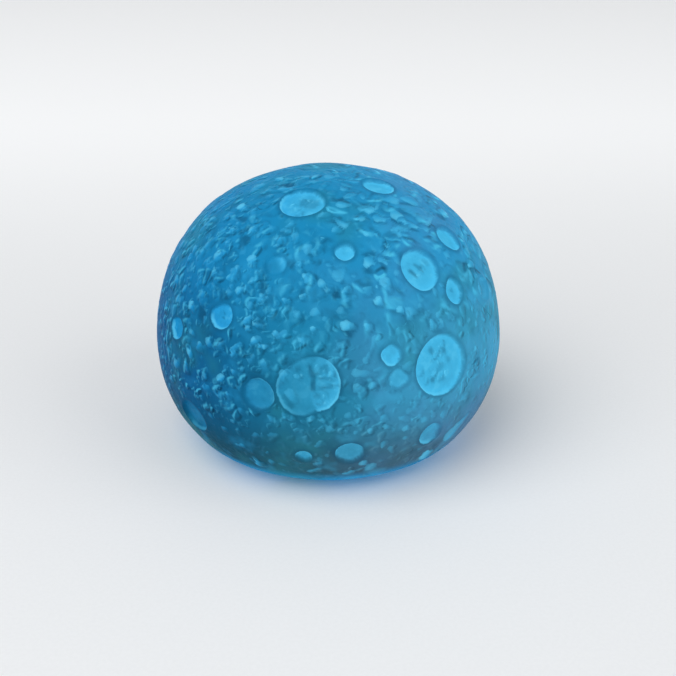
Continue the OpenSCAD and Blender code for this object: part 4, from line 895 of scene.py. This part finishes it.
def grained(name, scale, s):
    # a moulded material: its colour and roughness follow a fine grain
    material, tree, shader = newMaterial(name)
    place, axes = objectPlace(tree)
    grain = useGroup(tree, mouldGrain, Vector=place, Scale=scale)
    colour = mixed(tree, grain["Tone"], s["light"], s["shade"])
    down, up = s.get("roughSpread", (0.05, 0.05))
    rough = mapped(tree, grain["Tone"], 0.0, 1.0, s["rough"] - down, s["rough"] + up)
    fill(shader, {"Base Color": colour, "Roughness": rough})
    return material, tree, shader, place, axes, grain, colour, rough


def makePlastic(name, s):
    material, tree, shader, place, axes, grain, colour, rough = grained(name, s["grain"], s)
    marks = useGroup(tree, scuffs, Vector=place, Amount=s["wear"])
    # undersides that slide over a table are rubbed and a little grey
    under = mapped(tree, axes["Z"], s["rubbedTop"], s["rubbedTop"] - 0.0006)
    rubbed = times(tree, under, plus(tree, times(tree, grain["Tone"], 0.25), 0.1))
    colour = mixed(tree, rubbed, colour, s["rubbed"])
    colour = mixed(tree, times(tree, marks["Scratches"], 0.5), colour, s["rubbed"])
    colour = mixed(tree, times(tree, marks["Dust"], 0.6), colour, s["dust"])
    height = minus(tree, grain["Height"], times(tree, marks["Scratches"], 0.6))
    fill(shader, {
        "Base Color": colour, "Roughness": plus(tree, rough, times(tree, marks["Scratches"], 0.2)),
        "Specular IOR Level": s["gloss"], "Normal": bumped(tree, height, s["bump"], 0.00012)})
    return material, tree, shader, axes


def makeMetal(name, s):
    material, tree, shader = newMaterial(name)
    place, axes = objectPlace(tree)
    brush = useGroup(tree, brushing, Vector=place, Stretch=s["stretch"])
    marks = useGroup(tree, scuffs, Vector=place, Amount=s["wear"])
    colour = mixed(tree, mapped(tree, brush["Height"], 0.35, 0.65), s["light"], s["shade"])
    colour = mixed(tree, times(tree, brush["Tarnish"], s["tarnished"]), colour, s["tarnish"])
    rough = plus(tree, mapped(tree, brush["Height"], 0.3, 0.7, s["rough"] - 0.05, s["rough"] + 0.07),
                 times(tree, brush["Tarnish"], 0.18))
    fill(shader, {
        "Base Color": colour, "Metallic": 1.0, "Roughness": plus(tree, rough, times(tree, marks["Scratches"], 0.15)),
        "Normal": bumped(tree, brush["Height"], s["bump"], 0.00006)})
    return material, tree, shader, axes


def dress(name, material):
    # a node of the frame keeps its shape and takes a finish
    piece = nodes[name]
    if not piece.material_slots:
        piece.data.materials.append(material)
    for place in piece.material_slots:
        place.material = material


def splitFinish(tree, shader, mask, colour, rough):
    # adds a metal finish to a material where a mask is 1
    base, old = (shader.inputs[name].links[0].from_socket for name in ("Base Color", "Roughness"))
    fill(shader, {"Base Color": mixed(tree, mask, base, colour), "Metallic": mask,
                  "Roughness": mapped(tree, mask, 0.0, 1.0, old, rough, smooth=False)})


# the module in the lamp's mouth: mouldings

housingSettings = {
    "light": (236, 236, 232), "shade": (224, 225, 222), "rubbed": (176, 178, 180), "dust": (150, 146, 138),
    "grain": 2600.0, "rough": 0.46, "gloss": 0.45, "bump": 0.5, "wear": 0.35, "rubbedTop": 0.0,
}
coverSettings = {
    "light": (232, 233, 231), "shade": (219, 221, 220), "rubbed": (160, 164, 168), "dust": (138, 134, 128),
    "grain": 2100.0, "rough": 0.52, "gloss": 0.42, "bump": 0.75, "wear": 0.75, "rubbedTop": 0.0012,
}
doorSettings = {
    "light": (240, 240, 237), "shade": (228, 229, 227), "rubbed": (170, 173, 176), "dust": (144, 140, 132),
    "grain": 2100.0, "rough": 0.5, "gloss": 0.42, "bump": 0.75, "wear": 0.6, "rubbedTop": 0.0012,
}
knobSettings = {
    "light": (58, 60, 64), "shade": (46, 48, 52), "rubbed": (96, 98, 102), "dust": (120, 116, 110),
    "grain": 3200.0, "rough": 0.42, "gloss": 0.5, "bump": 0.5, "wear": 0.8, "rubbedTop": 0.0022,
}
for node, name, settings in (
        ("base_housing", "housingPlastic", housingSettings), ("base_cover", "coverPlastic", coverSettings),
        ("battery_door", "doorPlastic", doorSettings), ("switch_knob", "knobPlastic", knobSettings)):
    dress(node, makePlastic(name, settings)[0])

switchBaseSettings = {
    "light": (112, 70, 42), "shade": (92, 56, 34), "rubbed": (120, 84, 60), "dust": (140, 120, 96),
    "grain": 2200.0, "rough": 0.6, "gloss": 0.4, "bump": 0.8, "wear": 0.3, "rubbedTop": 0.0,
    "pins": (206, 206, 200), "pinsFrom": 0.00925,
}


def makeSwitchBase(s):
    material, tree, shader, axes = makePlastic("switchBoard", s)
    splitFinish(tree, shader, mapped(tree, axes["Z"], s["pinsFrom"], s["pinsFrom"] + 0.00005), s["pins"], 0.3)
    return material


dress("switch_base", makeSwitchBase(switchBaseSettings))


# the milky dome over the lights

domeSettings = {
    "light": (214, 236, 248), "shade": (180, 222, 244), "glowTop": (150, 214, 250), "glowRim": (70, 150, 214),
    "glow": 0.75, "rough": 0.42, "roughSpread": (0.05, 0.07),
}
# the lights stand on this ring of the board, at these turns
ledTurns, ledRing = (30, 150, 270), 10.5


def makeDome(s):
    material, tree, shader, place, axes, grain, colour, rough = grained("milkyDome", 1500.0, s)
    # brighter over each light and darker where the skirt meets the deck
    spots = 0.0
    for turn in ledTurns:
        near = reachFrom(tree, axes, around(turn, ledRing * mm))
        spots = plus(tree, mapped(tree, near, 0.013, 0.001, 0.0, 0.4), spots)
    rise = times(tree, mapped(tree, axes["Z"], 0.02, 0.043), 0.7)
    share = plus(tree, plus(tree, rise, spots), times(tree, grain["Tone"], 0.08), clamp=True)
    fill(shader, {
        "Emission Color": mixed(tree, share, s["glowRim"], s["glowTop"]), "Emission Strength": s["glow"],
        "Normal": bumped(tree, grain["Height"], 0.4, 0.0001)})
    return material


dress("diffuser_dome", makeDome(domeSettings))


# rubber feet: a soft crowned pad with a ring groove, in place of each plain disc

footSettings = {
    "at": (19.6, 22.6), "radius": 2.8, "height": 1.6, "groove": (0.62, 0.66, 0.7), "sole": (0.55, 0.6, 0.72, 0.86),
    "light": (64, 65, 67), "shade": (44, 45, 47), "dust": (128, 124, 116), "rough": 0.82, "roughSpread": (0.06, 0.08),
}


def makeRubber(s):
    material, tree, shader, place, axes, grain, colour, rough = grained("footRubber", 1800.0, s)
    dust = useGroup(tree, scuffs, Vector=place, Amount=1.0)["Dust"]
    sole = times(tree, mapped(tree, axes["Z"], 0.0004, 0.0001), plus(tree, times(tree, grain["Tone"], 0.3), 0.12))
    fill(shader, {
        "Base Color": mixed(tree, most(tree, sole, dust), colour, s["dust"]), "Specular IOR Level": 0.3,
        "Normal": bumped(tree, grain["Height"], 1.0, 0.0002)})
    return material


def spunShape(bm, profile, centre, steps=64):
    spin(bm, [(centre[0] + r, centre[1], centre[2] + z) for r, z in profile], centre, steps)


def finishMesh(bm, name, body, *replaced, material, finish):
    bmesh.ops.remove_doubles(bm, verts=bm.verts, dist=0.000004)
    bmesh.ops.recalc_face_normals(bm, faces=bm.faces)
    mesh = bpy.data.meshes.new(name)
    bm.to_mesh(mesh)
    bm.free()
    mesh.shade_smooth()
    mesh.materials.append(material)
    piece = bpy.data.objects.new(name, mesh)
    bpy.context.scene.collection.objects.link(piece)
    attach(piece, body)
    if replaced:
        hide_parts(*replaced)


def makeFeet(s):
    bm = bmesh.new()
    r, h = s["radius"] * mm, s["height"] * mm
    flat, groove = s["sole"], s["groove"]
    profile = [
        (0, 0.00006), (0.5 * r, 0.00003), (flat[0] * r, 0.0), (flat[1] * r, 0.0),
        (groove[0] * r, 0.00012), (groove[1] * r, 0.00022), (groove[2] * r, 0.00012),
        (flat[2] * r, 0.0), (flat[3] * r, 0.0), (0.92 * r, 0.00003), (0.965 * r, 0.00012), (0.99 * r, 0.00025),
        (r, 0.0004), (r, h - 0.00005), (r - 0.00005, h), (0, h)]
    for x in (-1, 1):
        for y in (-1, 1):
            spunShape(bm, profile, (x * s["at"][0] * mm, y * s["at"][1] * mm, 0.0))
    finishMesh(bm, "rubberFeet", "lamp", "foot_pads", material=makeRubber(s), finish="foot")


makeFeet(footSettings)


# screws, contacts, springs and the switch can

screwSettings = {
    "light": (196, 198, 200), "shade": (168, 171, 175), "tarnish": (120, 116, 108), "tarnished": 0.35,
    "stretch": (1.0, 1.0, 6.0), "rough": 0.28, "bump": 0.5, "wear": 0.6,
}
contactSettings = {
    "light": (214, 208, 192), "shade": (190, 184, 168), "tarnish": (136, 122, 98), "tarnished": 0.4,
    "stretch": (1.0, 1.0, 12.0), "rough": 0.25, "bump": 0.5, "wear": 0.5,
}
canSettings = {
    "light": (204, 205, 203), "shade": (184, 186, 185), "tarnish": (132, 130, 122), "tarnished": 0.3,
    "stretch": (12.0, 1.0, 1.0), "rough": 0.3, "bump": 0.5, "wear": 0.5,
}
for name, settings, pieces in (
        ("zincScrews", screwSettings, ("door_screw", "cover_screws", "board_screws")),
        ("nickelContacts", contactSettings,
         ("contact_positive", "contact_negative", "contact_link_left", "contact_link_right")),
        ("switchCan", canSettings, ("switch_can",))):
    metal = makeMetal(name, settings)[0]
    for piece in pieces:
        dress(piece, metal)


def tubeAlong(name, routes, width, corners=12, smoothSteps=0):
    # round wires along open routes, as one mesh: straight from point to point, or in smooth bends
    data = bpy.data.curves.new(name, "CURVE")
    data.dimensions = "3D"
    data.bevel_depth = width / 2
    data.bevel_resolution = max(1, corners // 4 - 1)
    data.use_fill_caps = True
    data.resolution_u = max(1, smoothSteps)
    for route in routes:
        line = data.splines.new("BEZIER" if smoothSteps else "POLY")
        points = line.bezier_points if smoothSteps else line.points
        points.add(len(route) - 1)
        for point, at in zip(points, route):
            if smoothSteps:
                point.co = at
                point.handle_left_type = point.handle_right_type = "AUTO"
            else:
                point.co = (*at, 1.0)
    rough = bpy.data.objects.new(name, data)
    bpy.context.scene.collection.objects.link(rough)
    bpy.context.view_layer.update()
    mesh = bpy.data.meshes.new_from_object(rough.evaluated_get(bpy.context.evaluated_depsgraph_get()))
    bpy.data.objects.remove(rough)
    bm = bmesh.new()
    bm.from_mesh(mesh)
    bpy.data.meshes.remove(mesh)
    return bm


springSettings = {
    "light": (206, 208, 208), "shade": (182, 184, 186), "tarnish": (130, 124, 112), "tarnished": 0.3,
    "stretch": (1.0, 1.0, 1.0), "rough": 0.24, "bump": 0.3, "wear": 0.3,
    "plateX": 24.45, "cellZ": 7.75, "pitch": 11.2, "wide": 3.6, "tip": 1.7, "long": 3.8, "wire": 0.5,
    "curls": 3, "turnSteps": 32,
}


def makeSprings(s):
    # each stands on a contact plate and narrows towards its cell
    routes = []
    steps = s["curls"] * s["turnSteps"]
    for row, way in ((-1, -1), (0, 1), (1, -1)):
        route = []
        for i in range(steps + 1):
            share = i / steps
            turn = share * s["curls"] * math.tau
            r = s["wide"] + (s["tip"] - s["wide"]) * share
            x = s["wire"] + (s["long"] - 2 * s["wire"]) * share
            y, z = r * math.cos(turn), r * math.sin(turn)
            route.append(((way * (s["plateX"] - x)) * mm, (row * s["pitch"] - way * y) * mm, (s["cellZ"] + z) * mm))
        routes.append(route)
    bm = tubeAlong("coilSprings", routes, s["wire"] * mm)
    wire = makeMetal("springWire", s)[0]
    finishMesh(bm, "coilSprings", "lamp", "cell_springs", material=wire, finish="spring")


makeSprings(springSettings)


# cells: a plain two-tone sleeve with bare ends

cellSettings = {
    "sleeve": (84, 104, 112), "band": (196, 200, 198), "line": (214, 214, 210), "ring": (228, 226, 218),
    "metal": (200, 200, 196),
    "tips": 23.85, "pitch": 11.2, "cellZ": 7.75, "sleeveFrom": 1.7, "sleeveTo": 43.9, "bandTo": 13.5, "nub": 2.9,
    "seamAt": 1.2, "edge": 0.05, "ringEdge": 0.06,
}


def makeCell(name, row, way, s):
    material, tree, shader = newMaterial(name)
    place, axes = objectPlace(tree)
    scratches = useGroup(tree, scuffs, Vector=place, Amount=0.7)["Scratches"]
    along = minus(tree, s["tips"] * mm, times(tree, axes["X"], way))
    out = reachFrom(tree, axes, (row * s["pitch"] * mm, s["cellZ"] * mm), "YZ")
    edge, ringEdge = s["edge"], s["ringEdge"]
    step = lambda value, low, high: mapped(tree, value, low * mm, high * mm)
    colour = mixed(tree, step(along, s["bandTo"], s["bandTo"] + edge), s["band"], s["sleeve"])
    line = times(tree, step(along, s["bandTo"] - 0.5, s["bandTo"] - 0.45),
                 step(along, s["bandTo"] + edge, s["bandTo"]))
    colour = mixed(tree, line, colour, s["line"])
    colour = mixed(tree, times(tree, scratches, 0.35), colour, s["line"])
    end = step(along, s["sleeveFrom"] + edge, s["sleeveFrom"])
    colour = mixed(tree, times(tree, end, step(out, s["nub"], s["nub"] + ringEdge)), colour, s["ring"])
    bare = most(tree, step(along, s["sleeveTo"], s["sleeveTo"] + ringEdge),
                times(tree, end, step(out, s["nub"] + ringEdge, s["nub"])))
    grain = noiseIn(tree, place, 1600.0)
    # the sleeve's overlap seam runs along the cell
    fromSeam = absolute(tree, minus(tree, axes["Y"], (row * s["pitch"] + s["seamAt"]) * mm))
    seam = times(tree, step(fromSeam, 0.4, 0.0), step(along, s["sleeveFrom"], s["sleeveFrom"] + 1))
    fill(shader, {
        "Base Color": mixed(tree, bare, colour, s["metal"]), "Metallic": bare,
        "Roughness": plus(tree, mapped(tree, grain, 0.3, 0.7, 0.24, 0.34), times(tree, scratches, 0.3)),
        "Normal": bumped(tree, plus(tree, times(tree, grain, 0.15), seam), 0.4, 0.0001)})
    return material


for number, row, way in ((1, -1, 1), (2, 0, -1), (3, 1, 1)):
    dress("battery_%d" % number, makeCell("cellSleeve%d" % number, row, way, cellSettings))


# the light board and what it carries

boardSettings = {
    "light": (24, 110, 66), "shade": (14, 84, 50), "trace": (44, 140, 84), "pad": (208, 206, 190),
    "ink": (224, 230, 224), "rough": 0.34,
    "postTurns": (90, 210, 330), "postRing": 17.4, "postPad": 2.8, "leadsAt": ((-2.0, -18.6), (2.0, -18.6)),
    "leadPad": 1.15, "inner": 6.0, "outer": 13.8, "printed": 19.6,
}
lightSettings = {
    "light": (236, 236, 230), "shade": (218, 218, 212), "gel": (120, 196, 255), "core": (226, 244, 255),
    "window": 1.9, "glow": 1.4,
}
chipSettings = {
    "light": (44, 46, 50), "shade": (34, 35, 38), "rubbed": (70, 72, 76), "dust": (96, 94, 90),
    "grain": 3000.0, "rough": 0.62, "gloss": 0.4, "bump": 1.0, "wear": 0.2, "rubbedTop": 0.0,
    "legs": (204, 204, 200), "legsFrom": 0.00205,
}
resistorSettings = {
    "light": (36, 37, 40), "shade": (24, 25, 28), "rubbed": (60, 60, 64), "dust": (90, 88, 84),
    "grain": 2600.0, "rough": 0.45, "gloss": 0.5, "bump": 0.5, "wear": 0.1, "rubbedTop": 0.0,
    "ends": (206, 206, 202), "at": (-8.0, 8.0, 0.0), "endFrom": 1.1,
}
capacitorSettings = {
    "light": (202, 204, 206), "shade": (184, 187, 190), "tarnish": (150, 150, 150), "tarnished": 0.2,
    "stretch": (1.0, 1.0, 10.0), "rough": 0.3, "bump": 0.3, "wear": 0.3,
    "dark": (30, 31, 34), "footTop": 0.0252, "canTop": 0.0301, "markTo": -0.0009,
}


def makeBoard(s):
    material, tree, shader, place, axes, grain, colour, rough = grained("lightBoard", 1800.0, s)
    out = reachFrom(tree, axes)

    def ring(reach, width):
        off = absolute(tree, minus(tree, out, reach * mm))
        return mapped(tree, off, (width + 0.06) * mm, width * mm)

    between = times(tree, mapped(tree, out, s["inner"] * mm, (s["inner"] + 0.05) * mm),
                    mapped(tree, out, s["outer"] * mm, (s["outer"] - 0.05) * mm))
    turn = calc("ARCTAN2", tree, axes["Y"], axes["X"])
    sweep = absolute(tree, calc("SINE", tree, times(tree, turn, 4.5)))
    spokes = times(tree, mapped(tree, times(tree, sweep, out), 1.3 * mm, 1.0 * mm), between)
    traces = most(tree, most(tree, ring(s["outer"], 0.35), ring(s["inner"], 0.3)), spokes, clamp=True)
    colour = mixed(tree, traces, colour, s["trace"])
    colour = mixed(tree, times(tree, ring(s["printed"], 0.09), 0.9), colour, s["ink"])
    pads = 0.0
    spots = [(around(post, s["postRing"]), s["postPad"]) for post in s["postTurns"]]
    for at, radius in spots + [(at, s["leadPad"]) for at in s["leadsAt"]]:
        near = reachFrom(tree, axes, [c * mm for c in at])
        pads = most(tree, mapped(tree, near, (radius + 0.1) * mm, radius * mm), pads)
    height = plus(tree, times(tree, grain["Height"], 0.2), times(tree, traces, 0.6))
    fill(shader, {
        "Base Color": mixed(tree, pads, colour, s["pad"]), "Metallic": times(tree, pads, 0.9),
        "Normal": bumped(tree, height, 0.6, 0.00006)})
    return material


def makeLights(s):
    material, tree, shader = newMaterial("lightChips")
    place, axes = objectPlace(tree)
    grain = useGroup(tree, mouldGrain, Vector=place, Scale=3000.0)
    away = 1.0
    for turn in ledTurns:
        away = least(tree, reachFrom(tree, axes, around(turn, ledRing * mm)), away)
    window = mapped(tree, away, s["window"] * mm, (s["window"] - 0.08) * mm)
    colour = mixed(tree, grain["Tone"], s["light"], s["shade"])
    glow = mixed(tree, mapped(tree, away, 1.5 * mm, 0.3 * mm), s["gel"], s["core"])
    fill(shader, {
        "Base Color": mixed(tree, window, colour, s["gel"]),
        "Emission Color": mixed(tree, window, (0.0, 0.0, 0.0, 1.0), glow), "Emission Strength": s["glow"],
        "Roughness": mapped(tree, window, 0.0, 1.0, 0.5, 0.2), "Normal": bumped(tree, grain["Height"], 0.4, 0.00008)})
    return material


def makeChip(s):
    material, tree, shader, axes = makePlastic("controlChip", s)
    legs = mapped(tree, absolute(tree, axes["Y"]), s["legsFrom"], s["legsFrom"] + 0.00004)
    splitFinish(tree, shader, legs, s["legs"], 0.3)
    return material


def makeResistors(s):
    material, tree, shader, axes = makePlastic("resistorFilm", s)
    away = 1.0
    for x in s["at"]:
        away = least(tree, absolute(tree, minus(tree, axes["X"], x * mm)), away)
    ends = mapped(tree, away, s["endFrom"] * mm, (s["endFrom"] + 0.05) * mm)
    splitFinish(tree, shader, ends, s["ends"], 0.35)
    return material


def makeCapacitor(s):
    material, tree, shader, axes = makeMetal("capacitorCan", s)
    foot = mapped(tree, axes["Z"], s["footTop"], s["footTop"] - 0.00004)
    # a dark half moon on the top shows which leg is negative
    top = times(tree, mapped(tree, axes["Z"], s["canTop"], s["canTop"] + 0.00005),
                mapped(tree, axes["X"], s["markTo"], s["markTo"] - 0.00005))
    dark = most(tree, foot, top)
    can = shader.inputs["Base Color"].links[0].from_socket
    fill(shader, {"Base Color": mixed(tree, dark, can, s["dark"]), "Metallic": minus(tree, 1.0, dark)})
    return material


for name, make, settings in (
        ("led_board", makeBoard, boardSettings), ("rgb_leds", makeLights, lightSettings),
        ("control_chip", makeChip, chipSettings), ("resistors", makeResistors, resistorSettings),
        ("capacitor", makeCapacitor, capacitorSettings)):
    dress(name, make(settings))


# inner leads and their solder

leadSettings = {
    "width": 1.2, "corners": 16, "smoothSteps": 10, "rough": 0.42, "roughSpread": (0.06, 0.08),
    "red": {"light": (176, 30, 30), "shade": (140, 20, 22)}, "black": {"light": (34, 35, 38), "shade": (22, 22, 25)},
    "positive": [(23.85, -11.2, 15.8), (18, -14, 16.4), (10, -18, 16.4), (4, -22, 16), (3, -24.5, 13.35),
                 (3, -24.5, 11.35)],
    "switched": [(0, -24.5, 11.35), (0, -24.5, 12.75), (0.6, -22, 16.2), (1.6, -19, 18), (2, -18.6, 20),
                 (2, -18.6, 22.85)],
    "negative": [(-23.85, 11.2, 15.8), (-17, 4, 16.4), (-10, -8, 16.4), (-4, -16, 16.4), (-2, -18.6, 18.6),
                 (-2, -18.6, 22.85)],
}
solderSettings = {
    "light": (200, 202, 204), "shade": (176, 179, 183), "tarnish": (140, 138, 134), "tarnished": 0.3,
    "stretch": (1.0, 1.0, 1.0), "rough": 0.25, "bump": 0.3, "wear": 0.1,
    "boardUnder": 22.99, "pinsAt": ((0.0, -24.5), (3.0, -24.5)), "pinTop": 11.2, "steps": 32,
    # half outlines of a joint: radius and height in millimetres
    "fillet": ((0.0, 0.0), (1.25, 0.0), (1.0, -0.12), (0.8, -0.34), (0.68, -0.7), (0.6, -1.0), (0.0, -1.0)),
    "blob": ((0.0, -1.2), (0.9, -1.2), (0.82, -0.7), (0.72, 0.0), (0.62, 0.6), (0.0, 0.7)),
}


def makeSleeve(colour, s):
    material, tree, shader, place, axes, grain = grained(colour + "Sleeve", 1500.0, {**s, **s[colour]})[:6]
    fill(shader, {"Normal": bumped(tree, grain["Height"], 0.4, 0.0001)})
    return material


def makeLeads(s):
    sleeves = {colour: makeSleeve(colour, s) for colour in ("red", "black")}
    for name, colour in (("positive", "red"), ("switched", "red"), ("negative", "black")):
        route = [tuple(c * mm for c in point) for point in s[name]]
        bm = tubeAlong(name + "Lead", [route], s["width"] * mm, s["corners"], s["smoothSteps"])
        finishMesh(bm, name + "Lead", "lamp", "lead_" + name, material=sleeves[colour], finish="lead_" + colour)


def makeSolder(s):
    bm = bmesh.new()
    for outline, places, z in (("fillet", boardSettings["leadsAt"], s["boardUnder"]), ("blob", s["pinsAt"], s["pinTop"])):
        for x, y in places:
            profile = [(r * mm, rise * mm) for r, rise in s[outline]]
            spunShape(bm, profile, (x * mm, y * mm, z * mm), s["steps"])
    finishMesh(bm, "solderJoints", "lamp", material=makeMetal("solder", s)[0], finish="contact")


makeLeads(leadSettings)
makeSolder(solderSettings)
print("module: dressed")


# floor, light and camera

studioSettings = {
    "floor": (240, 241, 242), "floorSize": 6.0, "back": (244, 246, 248), "world": 0.46, "seenWorld": 0.9,
    # what the camera adds to the floor behind the lamp and far away, and how far the lamps' own pools reach
    "backGlow": 0.18, "farGlow": 0.38, "keyPool": 2.4, "fillPool": 2.1,
    "keyAt": (-1.0, -1.0, 1.76), "key": 34.0, "keySize": 2.4, "aim": (0.0, 0.0, 0.04),
    "fillAt": (1.6, -0.8, 1.16), "fill": 12.0, "fillSize": 2.0,
    # the photo's viewing angle: pixels are those of the 676 wide picture
    "target": (0.0, 0.0, 0.0375), "distance": 0.4114, "elevation": 25.0, "lens": 59.12, "sensor": 36.0,
    "centre": (328.5, 333.6), "picture": 676,
}


def makeFloor(s):
    bm = bmesh.new()
    bmesh.ops.create_circle(bm, cap_ends=True, segments=96, radius=s["floorSize"])
    mesh = bpy.data.meshes.new("studioFloor")
    bm.to_mesh(mesh)
    bm.free()
    floor = bpy.data.objects.new("studioFloor", mesh)
    bpy.context.scene.collection.objects.link(floor)
    material, tree, shader = newMaterial("paleFloor")
    place, axes = objectPlace(tree)
    grain = addNode(tree, "ShaderNodeTexNoise", {"Vector": place, "Scale": 900.0, "Detail": 2.0}).outputs["Fac"]
    darker = tuple(c - 2 for c in s["floor"])
    # to the camera the floor behind the lamp stays as pale as the floor before it, and the far floor meets
    # the background, except below the lamps, where it is bright enough as it is
    away = addNode(tree, "ShaderNodeVectorMath", {0: place}, operation="LENGTH").outputs["Value"]
    far = mapped(tree, away, 0.7, 2.2, 0.0, s["farGlow"])
    for lamp in ("key", "fill"):
        inputs = {0: place, 1: (*s[lamp + "At"][:2], 0)}
        near = addNode(tree, "ShaderNodeVectorMath", inputs, operation="DISTANCE").outputs["Value"]
        far = times(tree, far, mapped(tree, near, 0.6, s[lamp + "Pool"]))
    far = most(tree, far, mapped(tree, away, 1.9, 2.6, 0.0, s["farGlow"]))
    lift = most(tree, mapped(tree, axes["Y"], 0.08, 0.5, 0.0, s["backGlow"]), far)
    seen = addNode(tree, "ShaderNodeLightPath").outputs["Is Camera Ray"]
    fill(shader, {
        "Base Color": mixed(tree, mapped(tree, grain, 0.3, 0.7), s["floor"], darker), "Roughness": 0.7,
        "Specular IOR Level": 0.2, "Emission Strength": times(tree, seen, lift)})
    mesh.materials.append(material)


def makeLamp(name, s):
    data = bpy.data.lights.new(name + "Lamp", "AREA")
    data.shape = "DISK"
    data.size = s[name + "Size"]
    data.energy = s[name]
    lamp = bpy.data.objects.new(name + "Lamp", data)
    lamp.location = s[name + "At"]
    lamp.rotation_euler = (Vector(s["aim"]) - lamp.location).to_track_quat("-Z", "Y").to_euler()
    bpy.context.scene.collection.objects.link(lamp)


def makeWorld(s):
    world = bpy.data.worlds.new("studioWorld")
    bpy.context.scene.world = world
    world.use_nodes = True
    tree = world.node_tree
    tree.nodes.clear()
    ray = addNode(tree, "ShaderNodeLightPath").outputs
    seen = most(tree, ray["Is Camera Ray"], most(tree, ray["Is Glossy Ray"], ray["Is Transmission Ray"]))
    strength = mapped(tree, seen, 0.0, 1.0, s["world"], s["seenWorld"], smooth=False)
    background = addNode(tree, "ShaderNodeBackground", {"Color": tone(*s["back"]), "Strength": strength})
    addNode(tree, "ShaderNodeOutputWorld", {"Surface": background.outputs[0]})


def makeCamera(s):
    data = bpy.data.cameras.new("studioCamera")
    data.lens = s["lens"]
    data.sensor_width = s["sensor"]
    data.clip_start = 0.01
    camera = bpy.data.objects.new("studioCamera", data)
    rise = math.radians(s["elevation"])
    middle = s["picture"] / 2
    pixel = s["sensor"] / s["lens"] * s["distance"] / s["picture"]
    side, lift = (s["centre"][0] - middle) * pixel, (middle - s["centre"][1]) * pixel
    up = Vector((0, math.sin(rise), math.cos(rise)))
    back = Vector((0, -math.cos(rise), math.sin(rise)))
    camera.location = Vector(s["target"]) + back * s["distance"] - Vector((1, 0, 0)) * side - up * lift
    camera.rotation_euler = (math.radians(90 - s["elevation"]), 0, 0)
    bpy.context.scene.collection.objects.link(camera)
    bpy.context.scene.camera = camera


makeFloor(studioSettings)
makeLamp("key", studioSettings)
makeLamp("fill", studioSettings)
makeWorld(studioSettings)
makeCamera(studioSettings)
bpy.context.scene.view_settings.view_transform = "Standard"
print("studio: set")
